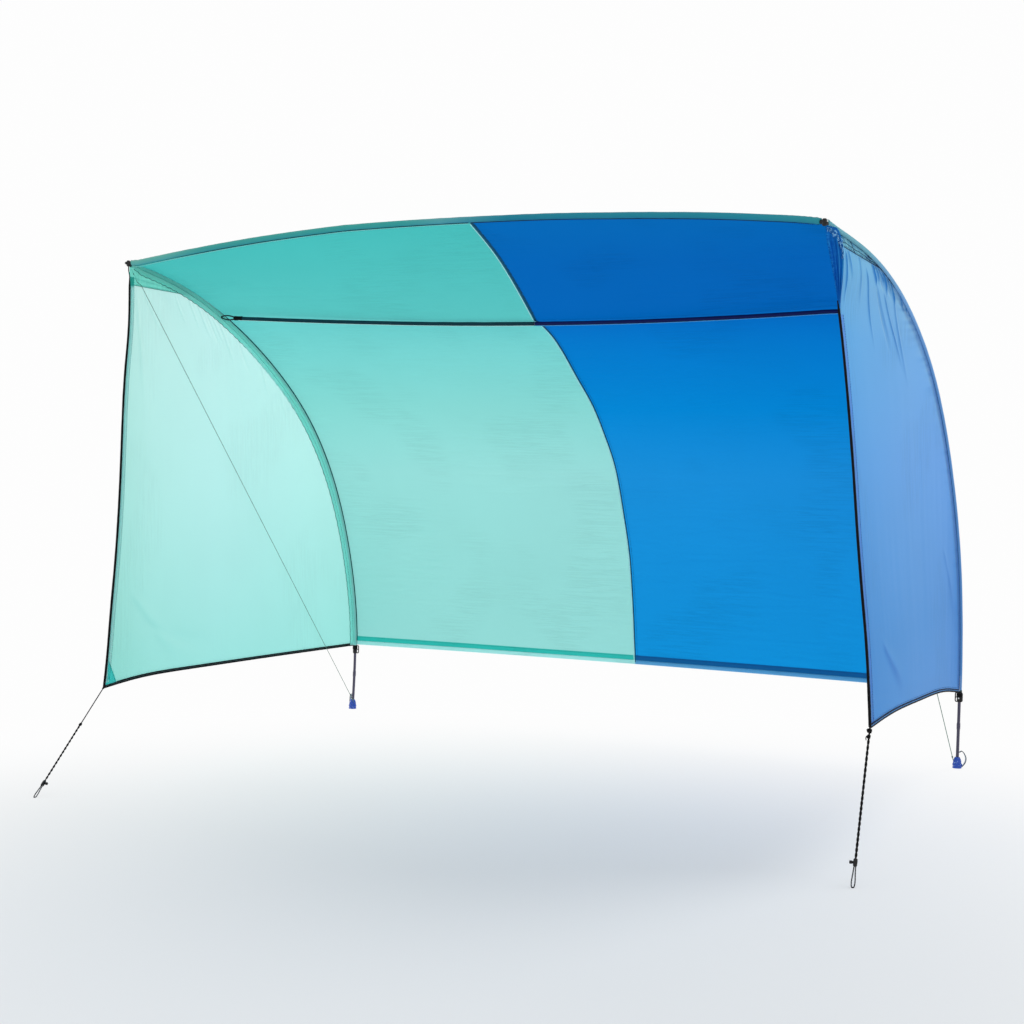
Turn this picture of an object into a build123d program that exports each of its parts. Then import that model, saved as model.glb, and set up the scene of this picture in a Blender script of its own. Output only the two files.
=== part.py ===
from build123d import *
import os
from math import tan, radians, pi, sin, cos

os.makedirs("parts", exist_ok=True)

# ---------------------------------------------------------------- dimensions
# millimetres, +Z up, the open front faces -Y, the back is toward +Y.
# The frame's centre plane lies at X = centre_x, and centre_x and centre_y put
# the origin under the middle of the whole shelter with its guy lines.
centre_x = -62.0
centre_y = -300.0

pole_d = 12.0             # arch poles
lip_pole_d = 9.5          # pole along the front lip
bar_d = 9.5               # spreader bar under the roof
sleeve_r = 16.0           # arch sleeve, outer radius
sleeve_bore = 13.5        # arch sleeve, inner radius
lip_r = 10.0              # lip sleeve, outer radius
lip_bore = 7.5            # lip sleeve, inner radius
cloth = 2.4               # cloth panels, modelled thicker than the real 0.1 mm
seam_gap = 1.6            # clearance between a panel's edge and a sleeve
sleeve_end_z = 279.0      # the arch sleeves stop here, the poles go on down
hem_band = 40.0           # double hem along the back's lower edge
edge_cord_d = 7.0         # bound edges of the walls
string_d = 3.0            # bowstrings
guy_d = 4.0
loop_d = 2.6
socket = 26.0             # length of a corner fitting's sockets

# arch pole's centre line from the top front corner to the foot (right side)
arch_pts = [(1282.3, -199.8, 1812.4), (1318.3, 121.5, 1751.2), (1334.2, 427.7, 1639.3),
            (1332.7, 708.6, 1468.8), (1323.9, 948.5, 1246.5), (1319.9, 1124.9, 971.8),
            (1317.9, 1231.8, 662.7), (1312.7, 1272.2, 337.3), (1312.6, 1250.1, 7.0)]

# canopy's centre seam, y and z: the roof from the lip to the spreader bar
roof_mid = [(5.0, 1906.0), (85.0, 1866.0), (171.0, 1821.0), (302.0, 1735.0), (454.0, 1611.0)]
# ... and the back from the bar to the hem
back_mid = [(454.0, 1611.0), (478.0, 1605.0), (560.0, 1578.0), (674.0, 1507.0), (800.0, 1409.0), (929.0, 1308.0),
            (1037.0, 1191.0), (1120.0, 1083.0), (1177.0, 962.0), (1212.0, 883.0), (1262.0, 720.0),
            (1285.0, 593.0), (1304.0, 455.0), (1318.0, 322.0), (1322.0, 279.0)]
lip_back = 195.0          # the lip's middle lies this far behind its ends
lip_up = 100.0            # ... and this far above them
bar_end = (395.0, 1630.0) # spreader bar's ends, y and z
bar_back = 58.0           # its middle lies this far behind them
bar_down = 31.0           # ... and this far below them

# front edge of each wall, from the top corner to the bottom corner
wall_edge = {-1: [(-1284, -190, 1762), (-1290, -196, 1555), (-1304, -224, 1130), (-1317, -252, 720),
                  (-1330.7, -298.6, 307.8)],
             1: [(1284, -190, 1762), (1291, -118, 1620), (1310, -108, 1462), (1331, -116, 1293),
                 (1352, -131, 1117), (1372, -155, 960), (1393, -166, 768), (1411, -180, 631), (1439.6, -226, 396)]}
# bottom edge of each wall, from the bottom corner to the sleeve's end
wall_hem = {-1: [(-1330.7, -298.6, 307.8), (-1328, -120, 320), (-1325, 146, 318), (-1322, 414, 310),
                 (-1316, 850, 296), (-1312.5, 1252, 281)],
            1: [(1439.6, -226, 396), (1411, 86, 389), (1372, 531, 361), (1333, 997, 321),
                (1312.5, 1252, 281)]}
gusset_z = {-1: 1737.0, 1: 1752.0}      # gusset seam where it meets the front edge
gusset_arch_z = 1722.0                  # and where it meets the arch sleeve
guy_end = {-1: (-1256.0, -725.0), 1: (1475.0, -481.0)}   # where each loop meets the ground
lock_at = {-1: 0.88, 1: 0.85}           # cord lock, as a share of the guy's length
side_name = {-1: "left", 1: "right"}


# ------------------------------------------------------------------- helpers
def w(p):
    """Shelter coordinates to part coordinates."""
    p = Vector(p)
    return Vector(p.X + centre_x, p.Y + centre_y, p.Z)


def lerp(a, b, t):
    return Vector(a) + (Vector(b) - Vector(a)) * t


def mir(p, s):
    p = Vector(p)
    return Vector(p.X * s, p.Y, p.Z)


def dense(points, n):
    """n points evenly spaced on a smooth curve through the given ones."""
    e = Spline(*[Vector(p) for p in points], mode=Mode.PRIVATE)
    return [e @ (i / (n - 1)) for i in range(n)]


def resample(points, n):
    """n points evenly spaced along a polyline."""
    pts = [Vector(p) for p in points]
    acc = [0.0]
    for a, b in zip(pts, pts[1:]):
        acc.append(acc[-1] + (b - a).length)
    out, k = [], 0
    for i in range(n):
        d = acc[-1] * i / (n - 1)
        while k < len(pts) - 2 and acc[k + 1] < d:
            k += 1
        out.append(lerp(pts[k], pts[k + 1], (d - acc[k]) / (acc[k + 1] - acc[k])))
    return out


def at_z(points, z):
    for a, b in zip(points, points[1:]):
        if a.Z >= z >= b.Z:
            return lerp(a, b, (a.Z - z) / (a.Z - b.Z))
    return points[-1]


def below_z(points, z):
    """The part of a falling polyline that lies under z."""
    return [at_z(points, z)] + [p for p in points if p.Z < z - 2]


def smooth_path(points):
    """Straight runs joined by arcs that hug a smooth curve through the points."""
    pts = [Vector(p) for p in points]
    q = [pts[0]]
    for a, b, c in zip(pts, pts[1:], pts[2:]):
        q.append(b + (b - (a + c) * 0.5) * 0.24)
    q.append(pts[-1])
    radii = []
    for a, b, c in zip(q, q[1:], q[2:]):
        turn = radians((b - a).get_angle(c - b))
        radii.append(0.45 * min((b - a).length, (c - b).length) / tan(turn / 2))
    return FilletPolyline(*q, radius=radii, mode=Mode.PRIVATE)


def lip_pt(t):
    """Lip pole's centre line, t from -1 at the left corner to 1 at the right."""
    b = 1 - t * t
    return Vector(1281.0 * t, -200.0 + lip_back * b - 71.0 * b * t * t, 1812.0 + lip_up * b + 15.0 * b * t * t)


def bar_pt(t):
    b = 1 - t * t
    return Vector(1316.0 * t, bar_end[0] + bar_back * b, bar_end[1] - bar_down * b)


def coons(bottom, top, left, right, nu, nv):
    """Grid between four boundary curves that share their corners."""
    b, t = resample(bottom, nu), resample(top, nu)
    l, r = resample(left, nv), resample(right, nv)
    grid = []
    for j in range(nv):
        y = j / (nv - 1)
        row = []
        for i in range(nu):
            x = i / (nu - 1)
            p = b[i] * (1 - y) + t[i] * y + l[j] * (1 - x) + r[j] * x
            p = p - (b[0] * ((1 - x) * (1 - y)) + b[-1] * (x * (1 - y)) + t[0] * ((1 - x) * y) + t[-1] * (x * y))
            row.append(p)
        grid.append(row)
    return grid


def sheet_solid(grid, half):
    """Closed sheet through a grid of points, its two skins half to each side of it."""
    rows, cols = len(grid), len(grid[0])
    normal = []
    for j in range(rows):
        row = []
        for i in range(cols):
            along = grid[j][min(i + 1, cols - 1)] - grid[j][max(i - 1, 0)]
            across = grid[min(j + 1, rows - 1)][i] - grid[max(j - 1, 0)][i]
            row.append(along.cross(across).normalized() * half)
        normal.append(row)
    top = [[grid[j][i] + normal[j][i] for i in range(cols)] for j in range(rows)]
    low = [[grid[j][i] - normal[j][i] for i in range(cols)] for j in range(rows)]

    def pair(a, b, c, d):
        return [Face(Wire.make_polygon([a, b, c], close=True)), Face(Wire.make_polygon([a, c, d], close=True))]

    faces = []
    for j in range(rows - 1):
        for i in range(cols - 1):
            faces += pair(top[j][i], top[j][i + 1], top[j + 1][i + 1], top[j + 1][i])
            faces += pair(low[j][i], low[j + 1][i], low[j + 1][i + 1], low[j][i + 1])
    for i in range(cols - 1):
        faces += pair(top[0][i], low[0][i], low[0][i + 1], top[0][i + 1])
        faces += pair(top[-1][i], top[-1][i + 1], low[-1][i + 1], low[-1][i])
    for j in range(rows - 1):
        faces += pair(top[j][0], top[j + 1][0], low[j + 1][0], low[j][0])
        faces += pair(top[j][-1], low[j][-1], low[j + 1][-1], top[j + 1][-1])
    return Solid(Shell(faces))


arch_dense = dense(arch_pts, 161)
sleeve_end = at_z(arch_dense, sleeve_end_z)


def between(points, skip, end, n):
    """n points along a polyline, from a length past its start to a point on it or its own end."""
    pts, d = list(points), 0.0
    while d + (pts[1] - pts[0]).length < skip:
        d += (pts[1] - pts[0]).length
        pts.pop(0)
    pts[0] = lerp(pts[0], pts[1], (skip - d) / (pts[1] - pts[0]).length)
    if end:
        pts = [p for p in pts if p.Z > end.Z + 1] + [end]
    return resample(pts, n)


def inward(k):
    """Unit vector at a dense arch point, toward the inside of the bow."""
    a, b = arch_dense[max(k - 1, 0)], arch_dense[min(k + 1, len(arch_dense) - 1)]
    d = (b - a).normalized()
    return Vector(0, d.Z, -d.Y).normalized()


wall_side = [p + inward(k) * (sleeve_r + seam_gap) for k, p in enumerate(arch_dense)]
canopy_side = [p - Vector(sleeve_r + seam_gap, 0, 0) for p in arch_dense]
bar_arch = canopy_side[[p.Y for p in arch_dense].index(min([p.Y for p in arch_dense if p.Y > 400]))]
corner = Vector(1281.0, -200.0, 1812.0)

# ------------------------------------------------------------ poles and bars
pole_tip = {}
for s in (-1, 1):
    name = side_name[s]
    pole_pts = between(arch_dense, socket, 0, 19)
    with BuildPart() as arch_pole:
        with BuildLine() as pole_line:
            add(smooth_path([w(mir(p, s)) for p in pole_pts]))
        with BuildSketch(Plane(origin=pole_line.line @ 0, z_dir=pole_line.line % 0)):
            Circle(pole_d / 2)
        sweep(path=pole_line.line)
    arch_pole.part.label = f"{name}_arch_pole"
    pole_tip[s] = (pole_line.line @ 1, pole_line.line % 1)
    export_step(arch_pole.part, f"parts/{name}_arch_pole.step")

    sleeve_pts = between(arch_dense, 42, sleeve_end, 17)
    with BuildPart() as arch_sleeve:
        with BuildLine() as sleeve_line:
            add(smooth_path([w(mir(p, s)) for p in sleeve_pts]))
        with BuildSketch(Plane(origin=sleeve_line.line @ 0, z_dir=sleeve_line.line % 0)):
            Circle(sleeve_r)
            Circle(sleeve_bore, mode=Mode.SUBTRACT)
        sweep(path=sleeve_line.line)
    arch_sleeve.part.label = f"{name}_arch_sleeve"
    export_step(arch_sleeve.part, f"parts/{name}_arch_sleeve.step")

lip_t = [(1 - socket / 1290) * (i - 9) / 9 for i in range(19)]
with BuildPart() as front_lip_pole:
    with BuildLine() as lip_line:
        add(smooth_path([w(lip_pt(t)) for t in lip_t]))
    with BuildSketch(Plane(origin=lip_line.line @ 0, z_dir=lip_line.line % 0)):
        Circle(lip_pole_d / 2)
    sweep(path=lip_line.line)
front_lip_pole.part.label = "front_lip_pole"
export_step(front_lip_pole.part, "parts/front_lip_pole.step")

lip_t = [(1 - 42 / 1290) * (i - 9) / 9 for i in range(19)]
with BuildPart() as front_lip_sleeve:
    with BuildLine() as lip_sleeve_line:
        add(smooth_path([w(lip_pt(t)) for t in lip_t]))
    with BuildSketch(Plane(origin=lip_sleeve_line.line @ 0, z_dir=lip_sleeve_line.line % 0)):
        Circle(lip_r)
        Circle(lip_bore, mode=Mode.SUBTRACT)
    sweep(path=lip_sleeve_line.line)
front_lip_sleeve.part.label = "front_lip_sleeve"
export_step(front_lip_sleeve.part, "parts/front_lip_sleeve.step")

bar_t = 1290 / 1316
with BuildPart() as spreader_bar:
    with BuildLine() as bar_line:
        ThreePointArc(w(bar_pt(-bar_t)), w(bar_pt(0)), w(bar_pt(bar_t)))
    with BuildSketch(Plane(origin=bar_line.line @ 0, z_dir=bar_line.line % 0)):
        Circle(bar_d / 2)
    sweep(path=bar_line.line)
spreader_bar.part.label = "spreader_bar"
export_step(spreader_bar.part, "parts/spreader_bar.step")

for s in (-1, 1):
    name = side_name[s]
    # pointed cap on the end of the spreader bar
    tip_at = bar_line.line @ (0 if s < 0 else 1)
    tip_dir = (bar_line.line % (0 if s < 0 else 1)) * s
    with BuildPart() as bar_cap:
        with BuildSketch(Plane(origin=tip_at + tip_dir * 0.2, z_dir=tip_dir)):
            Circle(bar_d / 2 + 0.6)
        extrude(amount=14)
        with BuildSketch(Plane(origin=tip_at + tip_dir * 14.2, z_dir=tip_dir)):
            Circle(bar_d / 2 + 0.6)
        with BuildSketch(Plane(origin=tip_at + tip_dir * 29.2, z_dir=tip_dir)):
            Circle(1.8)
        loft()
    bar_cap.part.label = f"{name}_bar_end_cap"
    export_step(bar_cap.part, f"parts/{name}_bar_end_cap.step")

    # webbing pocket that holds the bar's end under the sleeve
    with BuildPart() as bar_pocket:
        with BuildSketch(Plane(origin=tip_at - tip_dir * 58, z_dir=tip_dir)):
            Circle(bar_d / 2 + 2.8)
            Circle(bar_d / 2 + 0.8, mode=Mode.SUBTRACT)
        extrude(amount=44)
    bar_pocket.part.label = f"{name}_bar_pocket"
    export_step(bar_pocket.part, f"parts/{name}_bar_pocket.step")

    # corner fitting: a ball with one socket for each pole
    arch_dir = (w(mir(arch_pts[1], s)) - w(mir(arch_pts[0], s))).normalized()
    lip_dir = (w(lip_pt(0.94 * s)) - w(lip_pt(s))).normalized()
    with BuildPart() as corner_fitting:
        with BuildSketch(Plane(origin=w(mir(corner, s)) - Vector(0, 0, 15))):
            Circle(10.5)
        extrude(amount=28)
        fillet(corner_fitting.edges(), radius=3.0)
        with BuildSketch(Plane(origin=w(mir(arch_pts[0], s)), z_dir=arch_dir)):
            Circle(8.5)
        extrude(amount=socket - 0.3)
        with BuildSketch(Plane(origin=w(lip_pt(s)), z_dir=lip_dir)):
            Circle(7.5)
        extrude(amount=socket - 1.2)
    corner_fitting.part.label = f"{name}_corner_fitting"
    export_step(corner_fitting.part, f"parts/{name}_corner_fitting.step")

# ------------------------------------------------------------- canopy panels
nu, nv = 10, 8
roof_t = [0.97 * i / 24 for i in range(25)]
for s in (-1, 1):
    name = side_name[s]
    front = []
    for t in roof_t:
        d = Vector(0, 0.885 + 0.09 * t, -0.466 + 0.25 * t).normalized()
        front.append(lip_pt(t) + d * (lip_r + seam_gap))
    front[0] = Vector(0.4, roof_mid[0][0], roof_mid[0][1])
    crease = [bar_pt(i / 24) + Vector(0, 3.0, 10.0) for i in range(25)]
    crease = [lerp(c, Vector(bar_arch.X, bar_arch.Y, bar_arch.Z), 0) + (bar_arch - (bar_pt(1) + Vector(0, 3.0, 10.0))) * (
        (i / 24) ** 3) for i, c in enumerate(crease)]
    crease[0] = Vector(0.4, roof_mid[-1][0], roof_mid[-1][1])
    seam = dense([Vector(0.4, y, z) for y, z in roof_mid], 25)
    k0 = [p.Y > front[-1].Y + 45 for p in canopy_side].index(True)
    k1 = [p.Y > bar_arch.Y - 2 for p in canopy_side].index(True)
    side = [front[-1]] + canopy_side[k0:k1] + [crease[-1]]
    grid = coons([w(mir(p, s)) for p in front], [w(mir(p, s)) for p in crease],
                 [w(mir(p, s)) for p in seam], [w(mir(p, s)) for p in side], nu, nv)
    with BuildPart() as roof_panel:
        add(sheet_solid(grid, cloth / 2))
    roof_panel.part.label = f"roof_panel_{name}"
    export_step(roof_panel.part, f"parts/roof_panel_{name}.step")

    # the back, from the crease over the bar down to the hem band
    gap = Vector(0, 2.6, -2.2)
    seam = [p for p in dense([Vector(0.4, y, z) for y, z in back_mid], 90) if p.Z > sleeve_end_z + hem_band]
    seam[0] = seam[0] + gap
    side = [crease[-1] + gap] + [p for p in canopy_side[k1 + 2:] if p.Z > sleeve_end_z + hem_band + 4]
    side.append(at_z(canopy_side, sleeve_end_z + hem_band))
    top = [c + gap for c in crease]
    low = [Vector(seam[-1].X * (1 - t) + side[-1].X * t, side[-1].Y + (seam[-1].Y - side[-1].Y) * (1 - t * t),
                  seam[-1].Z * (1 - t) + side[-1].Z * t) for t in [i / 16 for i in range(17)]]
    grid = coons([w(mir(p, s)) for p in top], [w(mir(p, s)) for p in low],
                 [w(mir(p, s)) for p in seam], [w(mir(p, s)) for p in side], nu, 19)
    with BuildPart() as back_panel:
        add(sheet_solid(grid, cloth / 2))
    back_panel.part.label = f"back_panel_{name}"
    export_step(back_panel.part, f"parts/back_panel_{name}.step")

    # double hem band along the back's lower edge
    low_b = [p + Vector(0, 0.4, -3.0) for p in low]
    end_b = [Vector(p.X, p.Y + 2.5, sleeve_end_z) for p in low]
    grid = [[w(mir(lerp(a, b, j), s)) for a, b in zip(low_b[::2], end_b[::2])] for j in range(2)]
    with BuildPart() as back_hem:
        add(sheet_solid(grid, cloth / 2 + 0.4))
    back_hem.part.label = f"back_hem_{name}"
    export_step(back_hem.part, f"parts/back_hem_{name}.step")

# seam tape under the centre seam, from the lip to the bar and from the bar down
for part_name, pts in (("roof_seam_tape", roof_mid), ("back_seam_tape", back_mid[2:-1])):
    line = dense([Vector(0, y, z) for y, z in pts], 41)[1:-2]
    under = [Vector(0, (b - a).Z, -(b - a).Y).normalized() * 6.5 for a, b in zip(line, line[1:])]
    under.append(under[-1])
    grid = [[w(p + n + Vector(x, 0, 0)) for x in (-6, 6)] for p, n in zip(line, under)]
    with BuildPart() as seam_tape:
        add(sheet_solid(grid, 0.5))
    seam_tape.part.label = part_name
    export_step(seam_tape.part, f"parts/{part_name}.step")

# -------------------------------------------------------------- side walls
for s in (-1, 1):
    name = side_name[s]
    edge = dense(wall_edge[s], 61)
    hem = dense(wall_hem[s], 41)
    k = [p.Z < gusset_arch_z for p in wall_side].index(True)
    arch_low = [p for p in wall_side[k:] if p.Z > sleeve_end_z + 9]
    seam_front, seam_back = at_z(edge, gusset_z[s]) + Vector(0, 6.4, 0), mir(arch_low[0], s)
    seam = [lerp(seam_front, seam_back, i / 10) for i in range(11)]
    front = [seam[0]] + [p + Vector(0, 6.0, 0) for p in edge if p.Z < gusset_z[s] - 10]
    front[-1] = edge[-1] + Vector(0, 5.6, 5.6)
    rear = [mir(p, s) for p in arch_low]
    low = [front[-1]] + [p + Vector(0, 0, 5.6) for p in hem[1:-1]] + [rear[-1]]
    grid = coons([w(p) for p in seam], [w(p) for p in low], [w(p) for p in front], [w(p) for p in rear], 9, 19)
    with BuildPart() as wall:
        add(sheet_solid(grid, cloth / 2))
    wall.part.label = f"{name}_wall"
    export_step(wall.part, f"parts/{name}_wall.step")

    # reinforcing gusset between the top corner, the sleeve and the wall's top seam
    kk = [p.Y > -140 for p in wall_side].index(True)
    rise = [mir(p, s) + Vector(0, -0.3, -1.0) for p in wall_side[kk:k]]
    apex = at_z(edge, 1762) + Vector(0, 6, 0)
    gus_front = [apex, lerp(apex, seam[0], 0.5), seam[0] + Vector(0, 0, 1.6)]
    top = [apex] + rise
    low_g = [p + Vector(0, 0, 2.6) for p in seam]
    low_g[-1] = lerp(top[-1], seam[-1], 0.4)
    gus_back = [top[-1], lerp(top[-1], low_g[-1], 0.5), low_g[-1]]
    grid = coons([w(p) for p in top], [w(p) for p in low_g], [w(p) for p in gus_front], [w(p) for p in gus_back], 9, 5)
    with BuildPart() as gusset:
        add(sheet_solid(grid, cloth / 2 + 0.3))
    gusset.part.label = f"{name}_top_gusset"
    export_step(gusset.part, f"parts/{name}_top_gusset.step")

    # bound front edge and bottom edge
    with BuildPart() as edge_cord:
        with BuildLine() as cord_line:
            add(smooth_path([w(p) for p in resample([p for p in edge if 1758 > p.Z > edge[-1].Z + 7], 13)]))
        with BuildSketch(Plane(origin=cord_line.line @ 0, z_dir=cord_line.line % 0)):
            Circle(edge_cord_d / 2)
        sweep(path=cord_line.line)
    edge_cord.part.label = f"{name}_front_edge_binding"
    export_step(edge_cord.part, f"parts/{name}_front_edge_binding.step")

    with BuildPart() as hem_cord:
        with BuildLine() as hem_line:
            add(smooth_path([w(p) for p in resample(hem[1:], 9)]))
        with BuildSketch(Plane(origin=hem_line.line @ 0, z_dir=hem_line.line % 0)):
            Circle(edge_cord_d / 2)
        sweep(path=hem_line.line)
    hem_cord.part.label = f"{name}_wall_hem_binding"
    export_step(hem_cord.part, f"parts/{name}_wall_hem_binding.step")

    # triangular patch over the bottom front corner, on the inner face
    c0 = front[-1] + Vector(-s * 3.4, 3, 3)
    c1 = at_z(front, front[-1].Z + 95) + Vector(-s * 3.4, 3, 0)
    c2 = [p for p in low if p.Y > c0.Y + 60][0] + Vector(-s * 3.4, 0, 3)
    with BuildPart() as corner_patch:
        with BuildSketch(Plane(origin=w(c0), x_dir=(c2 - c0).normalized(), z_dir=(c2 - c0).cross(c1 - c0).normalized())) as tri:
            la, lb = (c2 - c0).length, (c1 - c0).length
            ang = radians((c2 - c0).get_angle(c1 - c0))
            with BuildLine():
                Polyline((0, 0), (la, 0), (lb * cos(ang), lb * sin(ang)), close=True)
            make_face()
        extrude(amount=0.6, both=True)
    corner_patch.part.label = f"{name}_corner_patch"
    export_step(corner_patch.part, f"parts/{name}_corner_patch.step")

    # ------------------------------------------------ strings, guys and feet
    top_at, foot_at = w((s * 1280.0, -182.0, 1796.0)), w((s * 1300.0, 1244.0, 30.0))
    with BuildPart() as bowstring:
        with BuildSketch(Plane(origin=top_at, z_dir=(foot_at - top_at).normalized())):
            Circle(string_d / 2)
        extrude(amount=(foot_at - top_at).length)
    bowstring.part.label = f"{name}_bowstring"
    export_step(bowstring.part, f"parts/{name}_bowstring.step")

    corner_at = w(edge[-1])
    end_at = w((guy_end[s][0], guy_end[s][1], loop_d / 2))
    gd = (end_at - corner_at).normalized()
    length = (end_at - corner_at).length
    with BuildPart() as tensioner:
        with BuildSketch(Plane(origin=corner_at + gd * 4, z_dir=gd)):
            Circle(5.0)
        extrude(amount=12)
        with BuildSketch(Plane(origin=corner_at + gd * 15, z_dir=gd)):
            Circle(3.4)
        extrude(amount=7)
        with BuildSketch(Plane(origin=corner_at + gd * 21, z_dir=gd)):
            Circle(5.0)
        extrude(amount=10)
    tensioner.part.label = f"{name}_corner_tensioner"
    export_step(tensioner.part, f"parts/{name}_corner_tensioner.step")

    lock_c = corner_at + gd * (length * lock_at[s])
    with BuildPart() as guy_line:
        with BuildSketch(Plane(origin=corner_at + gd * 31.2, z_dir=gd)):
            Circle(guy_d / 2)
        extrude(amount=length * lock_at[s] - 31.2 - 11.2)
    guy_line.part.label = f"{name}_guy_line"
    export_step(guy_line.part, f"parts/{name}_guy_line.step")

    with BuildPart() as cord_lock:
        with BuildSketch(Plane(origin=lock_c - gd * 11, z_dir=gd)):
            Circle(6.5)
        extrude(amount=22)
        fillet(cord_lock.edges(), radius=2.0)
        with BuildSketch(Plane(origin=lock_c, z_dir=gd.cross(Vector(0, 0, 1)).normalized() * s)):
            Circle(4.5)
        extrude(amount=17)
    cord_lock.part.label = f"{name}_cord_lock"
    export_step(cord_lock.part, f"parts/{name}_cord_lock.step")

    side_dir = gd.cross(Vector(0, 0, 1)).normalized()
    a1, a2 = lock_c + gd * 12 + side_dir * 2.2, lock_c + gd * 12 - side_dir * 2.2
    e1, e2 = end_at + side_dir * 5, end_at - side_dir * 5
    with BuildPart() as guy_loop:
        with BuildLine() as loop_line:
            FilletPolyline(a1, e1, e2, a2, radius=4.2)
        with BuildSketch(Plane(origin=loop_line.line @ 0, z_dir=loop_line.line % 0)):
            Circle(loop_d / 2)
        sweep(path=loop_line.line)
    guy_loop.part.label = f"{name}_guy_loop"
    export_step(guy_loop.part, f"parts/{name}_guy_loop.step")

    # foot, its pull loop and the buckle at the sleeve's end
    foot_c = w((s * 1312.6, 1249.6, 0))
    axis = -(pole_tip[s][1])
    with BuildPart() as foot:
        with BuildSketch(Plane(origin=foot_c)):
            Circle(17.0)
        with BuildSketch(Plane(origin=foot_c + Vector(0, 0.6, 14))):
            Circle(15.0)
        with BuildSketch(Plane(origin=foot_c + Vector(0, 2.6, 42))):
            Circle(11.0)
        loft()
        with BuildSketch(Plane(origin=pole_tip[s][0] - axis * 0.4, z_dir=axis)):
            Circle(pole_d / 2 + 0.4)
        extrude(amount=60, mode=Mode.SUBTRACT)
    foot.part.label = f"{name}_foot"
    export_step(foot.part, f"parts/{name}_foot.step")

    out = Vector(s * 0.75, 0.66, 0)
    with BuildPart() as pull_loop:
        with BuildLine() as pull_line:
            ThreePointArc(foot_c + out * 17.6 + Vector(0, 0, 5), foot_c + out * 34 + Vector(0, 0, 34),
                          foot_c + out * 16 + Vector(0, 0, 62))
        with BuildSketch(Plane(origin=pull_line.line @ 0, z_dir=pull_line.line % 0)):
            Circle(1.6)
        sweep(path=pull_line.line)
    pull_loop.part.label = f"{name}_foot_pull_loop"
    export_step(pull_loop.part, f"parts/{name}_foot_pull_loop.step")

    end_w = w(mir(sleeve_end, s))
    k_end = [p.Z < sleeve_end_z - 40 for p in arch_dense].index(True)
    down = (w(mir(arch_dense[k_end], s)) - end_w).normalized()
    with BuildPart() as buckle:
        with BuildSketch(Plane(origin=end_w + down * 1.4, z_dir=down)):
            Circle(15.0)
            Circle(pole_d / 2 + 1.6, mode=Mode.SUBTRACT)
        extrude(amount=18)
        with BuildSketch(Plane(origin=end_w + down * 19.4, z_dir=down)):
            Circle(11.5)
            Circle(pole_d / 2 + 1.6, mode=Mode.SUBTRACT)
        extrude(amount=20)
    buckle.part.label = f"{name}_sleeve_buckle"
    export_step(buckle.part, f"parts/{name}_sleeve_buckle.step")
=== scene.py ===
import bpy
import math
import numpy as np
from mathutils import Matrix, Vector, noise


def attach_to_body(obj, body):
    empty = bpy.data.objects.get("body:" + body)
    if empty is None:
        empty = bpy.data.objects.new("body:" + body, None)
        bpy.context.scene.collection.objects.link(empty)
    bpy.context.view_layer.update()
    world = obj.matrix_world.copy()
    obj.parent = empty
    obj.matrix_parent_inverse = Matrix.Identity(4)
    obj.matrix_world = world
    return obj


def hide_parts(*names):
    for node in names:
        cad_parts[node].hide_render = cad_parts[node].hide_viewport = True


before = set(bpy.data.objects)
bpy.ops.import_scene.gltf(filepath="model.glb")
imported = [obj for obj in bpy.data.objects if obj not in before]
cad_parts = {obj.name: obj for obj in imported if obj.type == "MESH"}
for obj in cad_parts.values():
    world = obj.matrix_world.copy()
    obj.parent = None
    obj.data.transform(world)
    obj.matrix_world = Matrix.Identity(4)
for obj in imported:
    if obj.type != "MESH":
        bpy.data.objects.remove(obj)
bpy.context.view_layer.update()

# ------------------------------------------------------------------ measures
# metres. The shelter's own centre plane is x = CX, its top front corners lie at y = CY - 0.2.
CX, CY = -0.062, -0.300
OFF = np.array([CX, CY, 0.0])
SIDE = {-1: "left", 1: "right"}

ARCH = np.array([(1.2823, -.1998, 1.8124), (1.3183, .1215, 1.7512), (1.3342, .4277, 1.6393),
                 (1.3327, .7086, 1.4688), (1.3239, .9485, 1.2465), (1.3199, 1.1249, .9718),
                 (1.3179, 1.2318, .6627), (1.3127, 1.2722, .3373), (1.3126, 1.2501, .007)])
ROOF_MID = np.array([(-.004, 1.909), (.085, 1.864), (.171, 1.819), (.302, 1.732), (.454, 1.6105)])
BACK_MID = np.array([(.454, 1.6105), (.478, 1.606), (.529, 1.589), (.600, 1.555), (.674, 1.507), (.800, 1.409),
                     (.929, 1.308), (1.037, 1.191), (1.120, 1.083), (1.177, .962), (1.212, .870), (1.262, .720),
                     (1.285, .593), (1.304, .455), (1.318, .322), (1.323, .279)])
SLEEVE_END = .279
WALL_EDGE = {-1: np.array([(-1.284, -.192, 1.764), (-1.290, -.196, 1.555), (-1.294, -.206, 1.455),
                           (-1.304, -.224, 1.130), (-1.316, -.249, .748), (-1.322, -.269, .566),
                           (-1.328, -.286, .396), (-1.3307, -.2986, .3078)]),
             1: np.array([(1.284, -.190, 1.762), (1.291, -.118, 1.620), (1.310, -.108, 1.462),
                          (1.331, -.116, 1.293), (1.352, -.131, 1.117), (1.372, -.155, .960),
                          (1.393, -.166, .768), (1.411, -.180, .631), (1.4396, -.226, .396)])}
WALL_HEM = {-1: np.array([(-1.3307, -.2986, .3078), (-1.328, -.120, .320), (-1.325, .146, .318),
                          (-1.322, .414, .310), (-1.316, .850, .296), (-1.3125, 1.252, .281)]),
            1: np.array([(1.4396, -.226, .396), (1.411, .086, .389), (1.372, .531, .361),
                         (1.333, .997, .321), (1.3125, 1.252, .281)])}
GUY_END = {-1: (-1.256, -.725), 1: (1.475, -.481)}


# ------------------------------------------------------------------- helpers
def unit(a):
    a = np.asarray(a, float)
    n = np.linalg.norm(a, axis=-1, keepdims=True)
    return a / np.where(n < 1e-12, 1, n)


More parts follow.
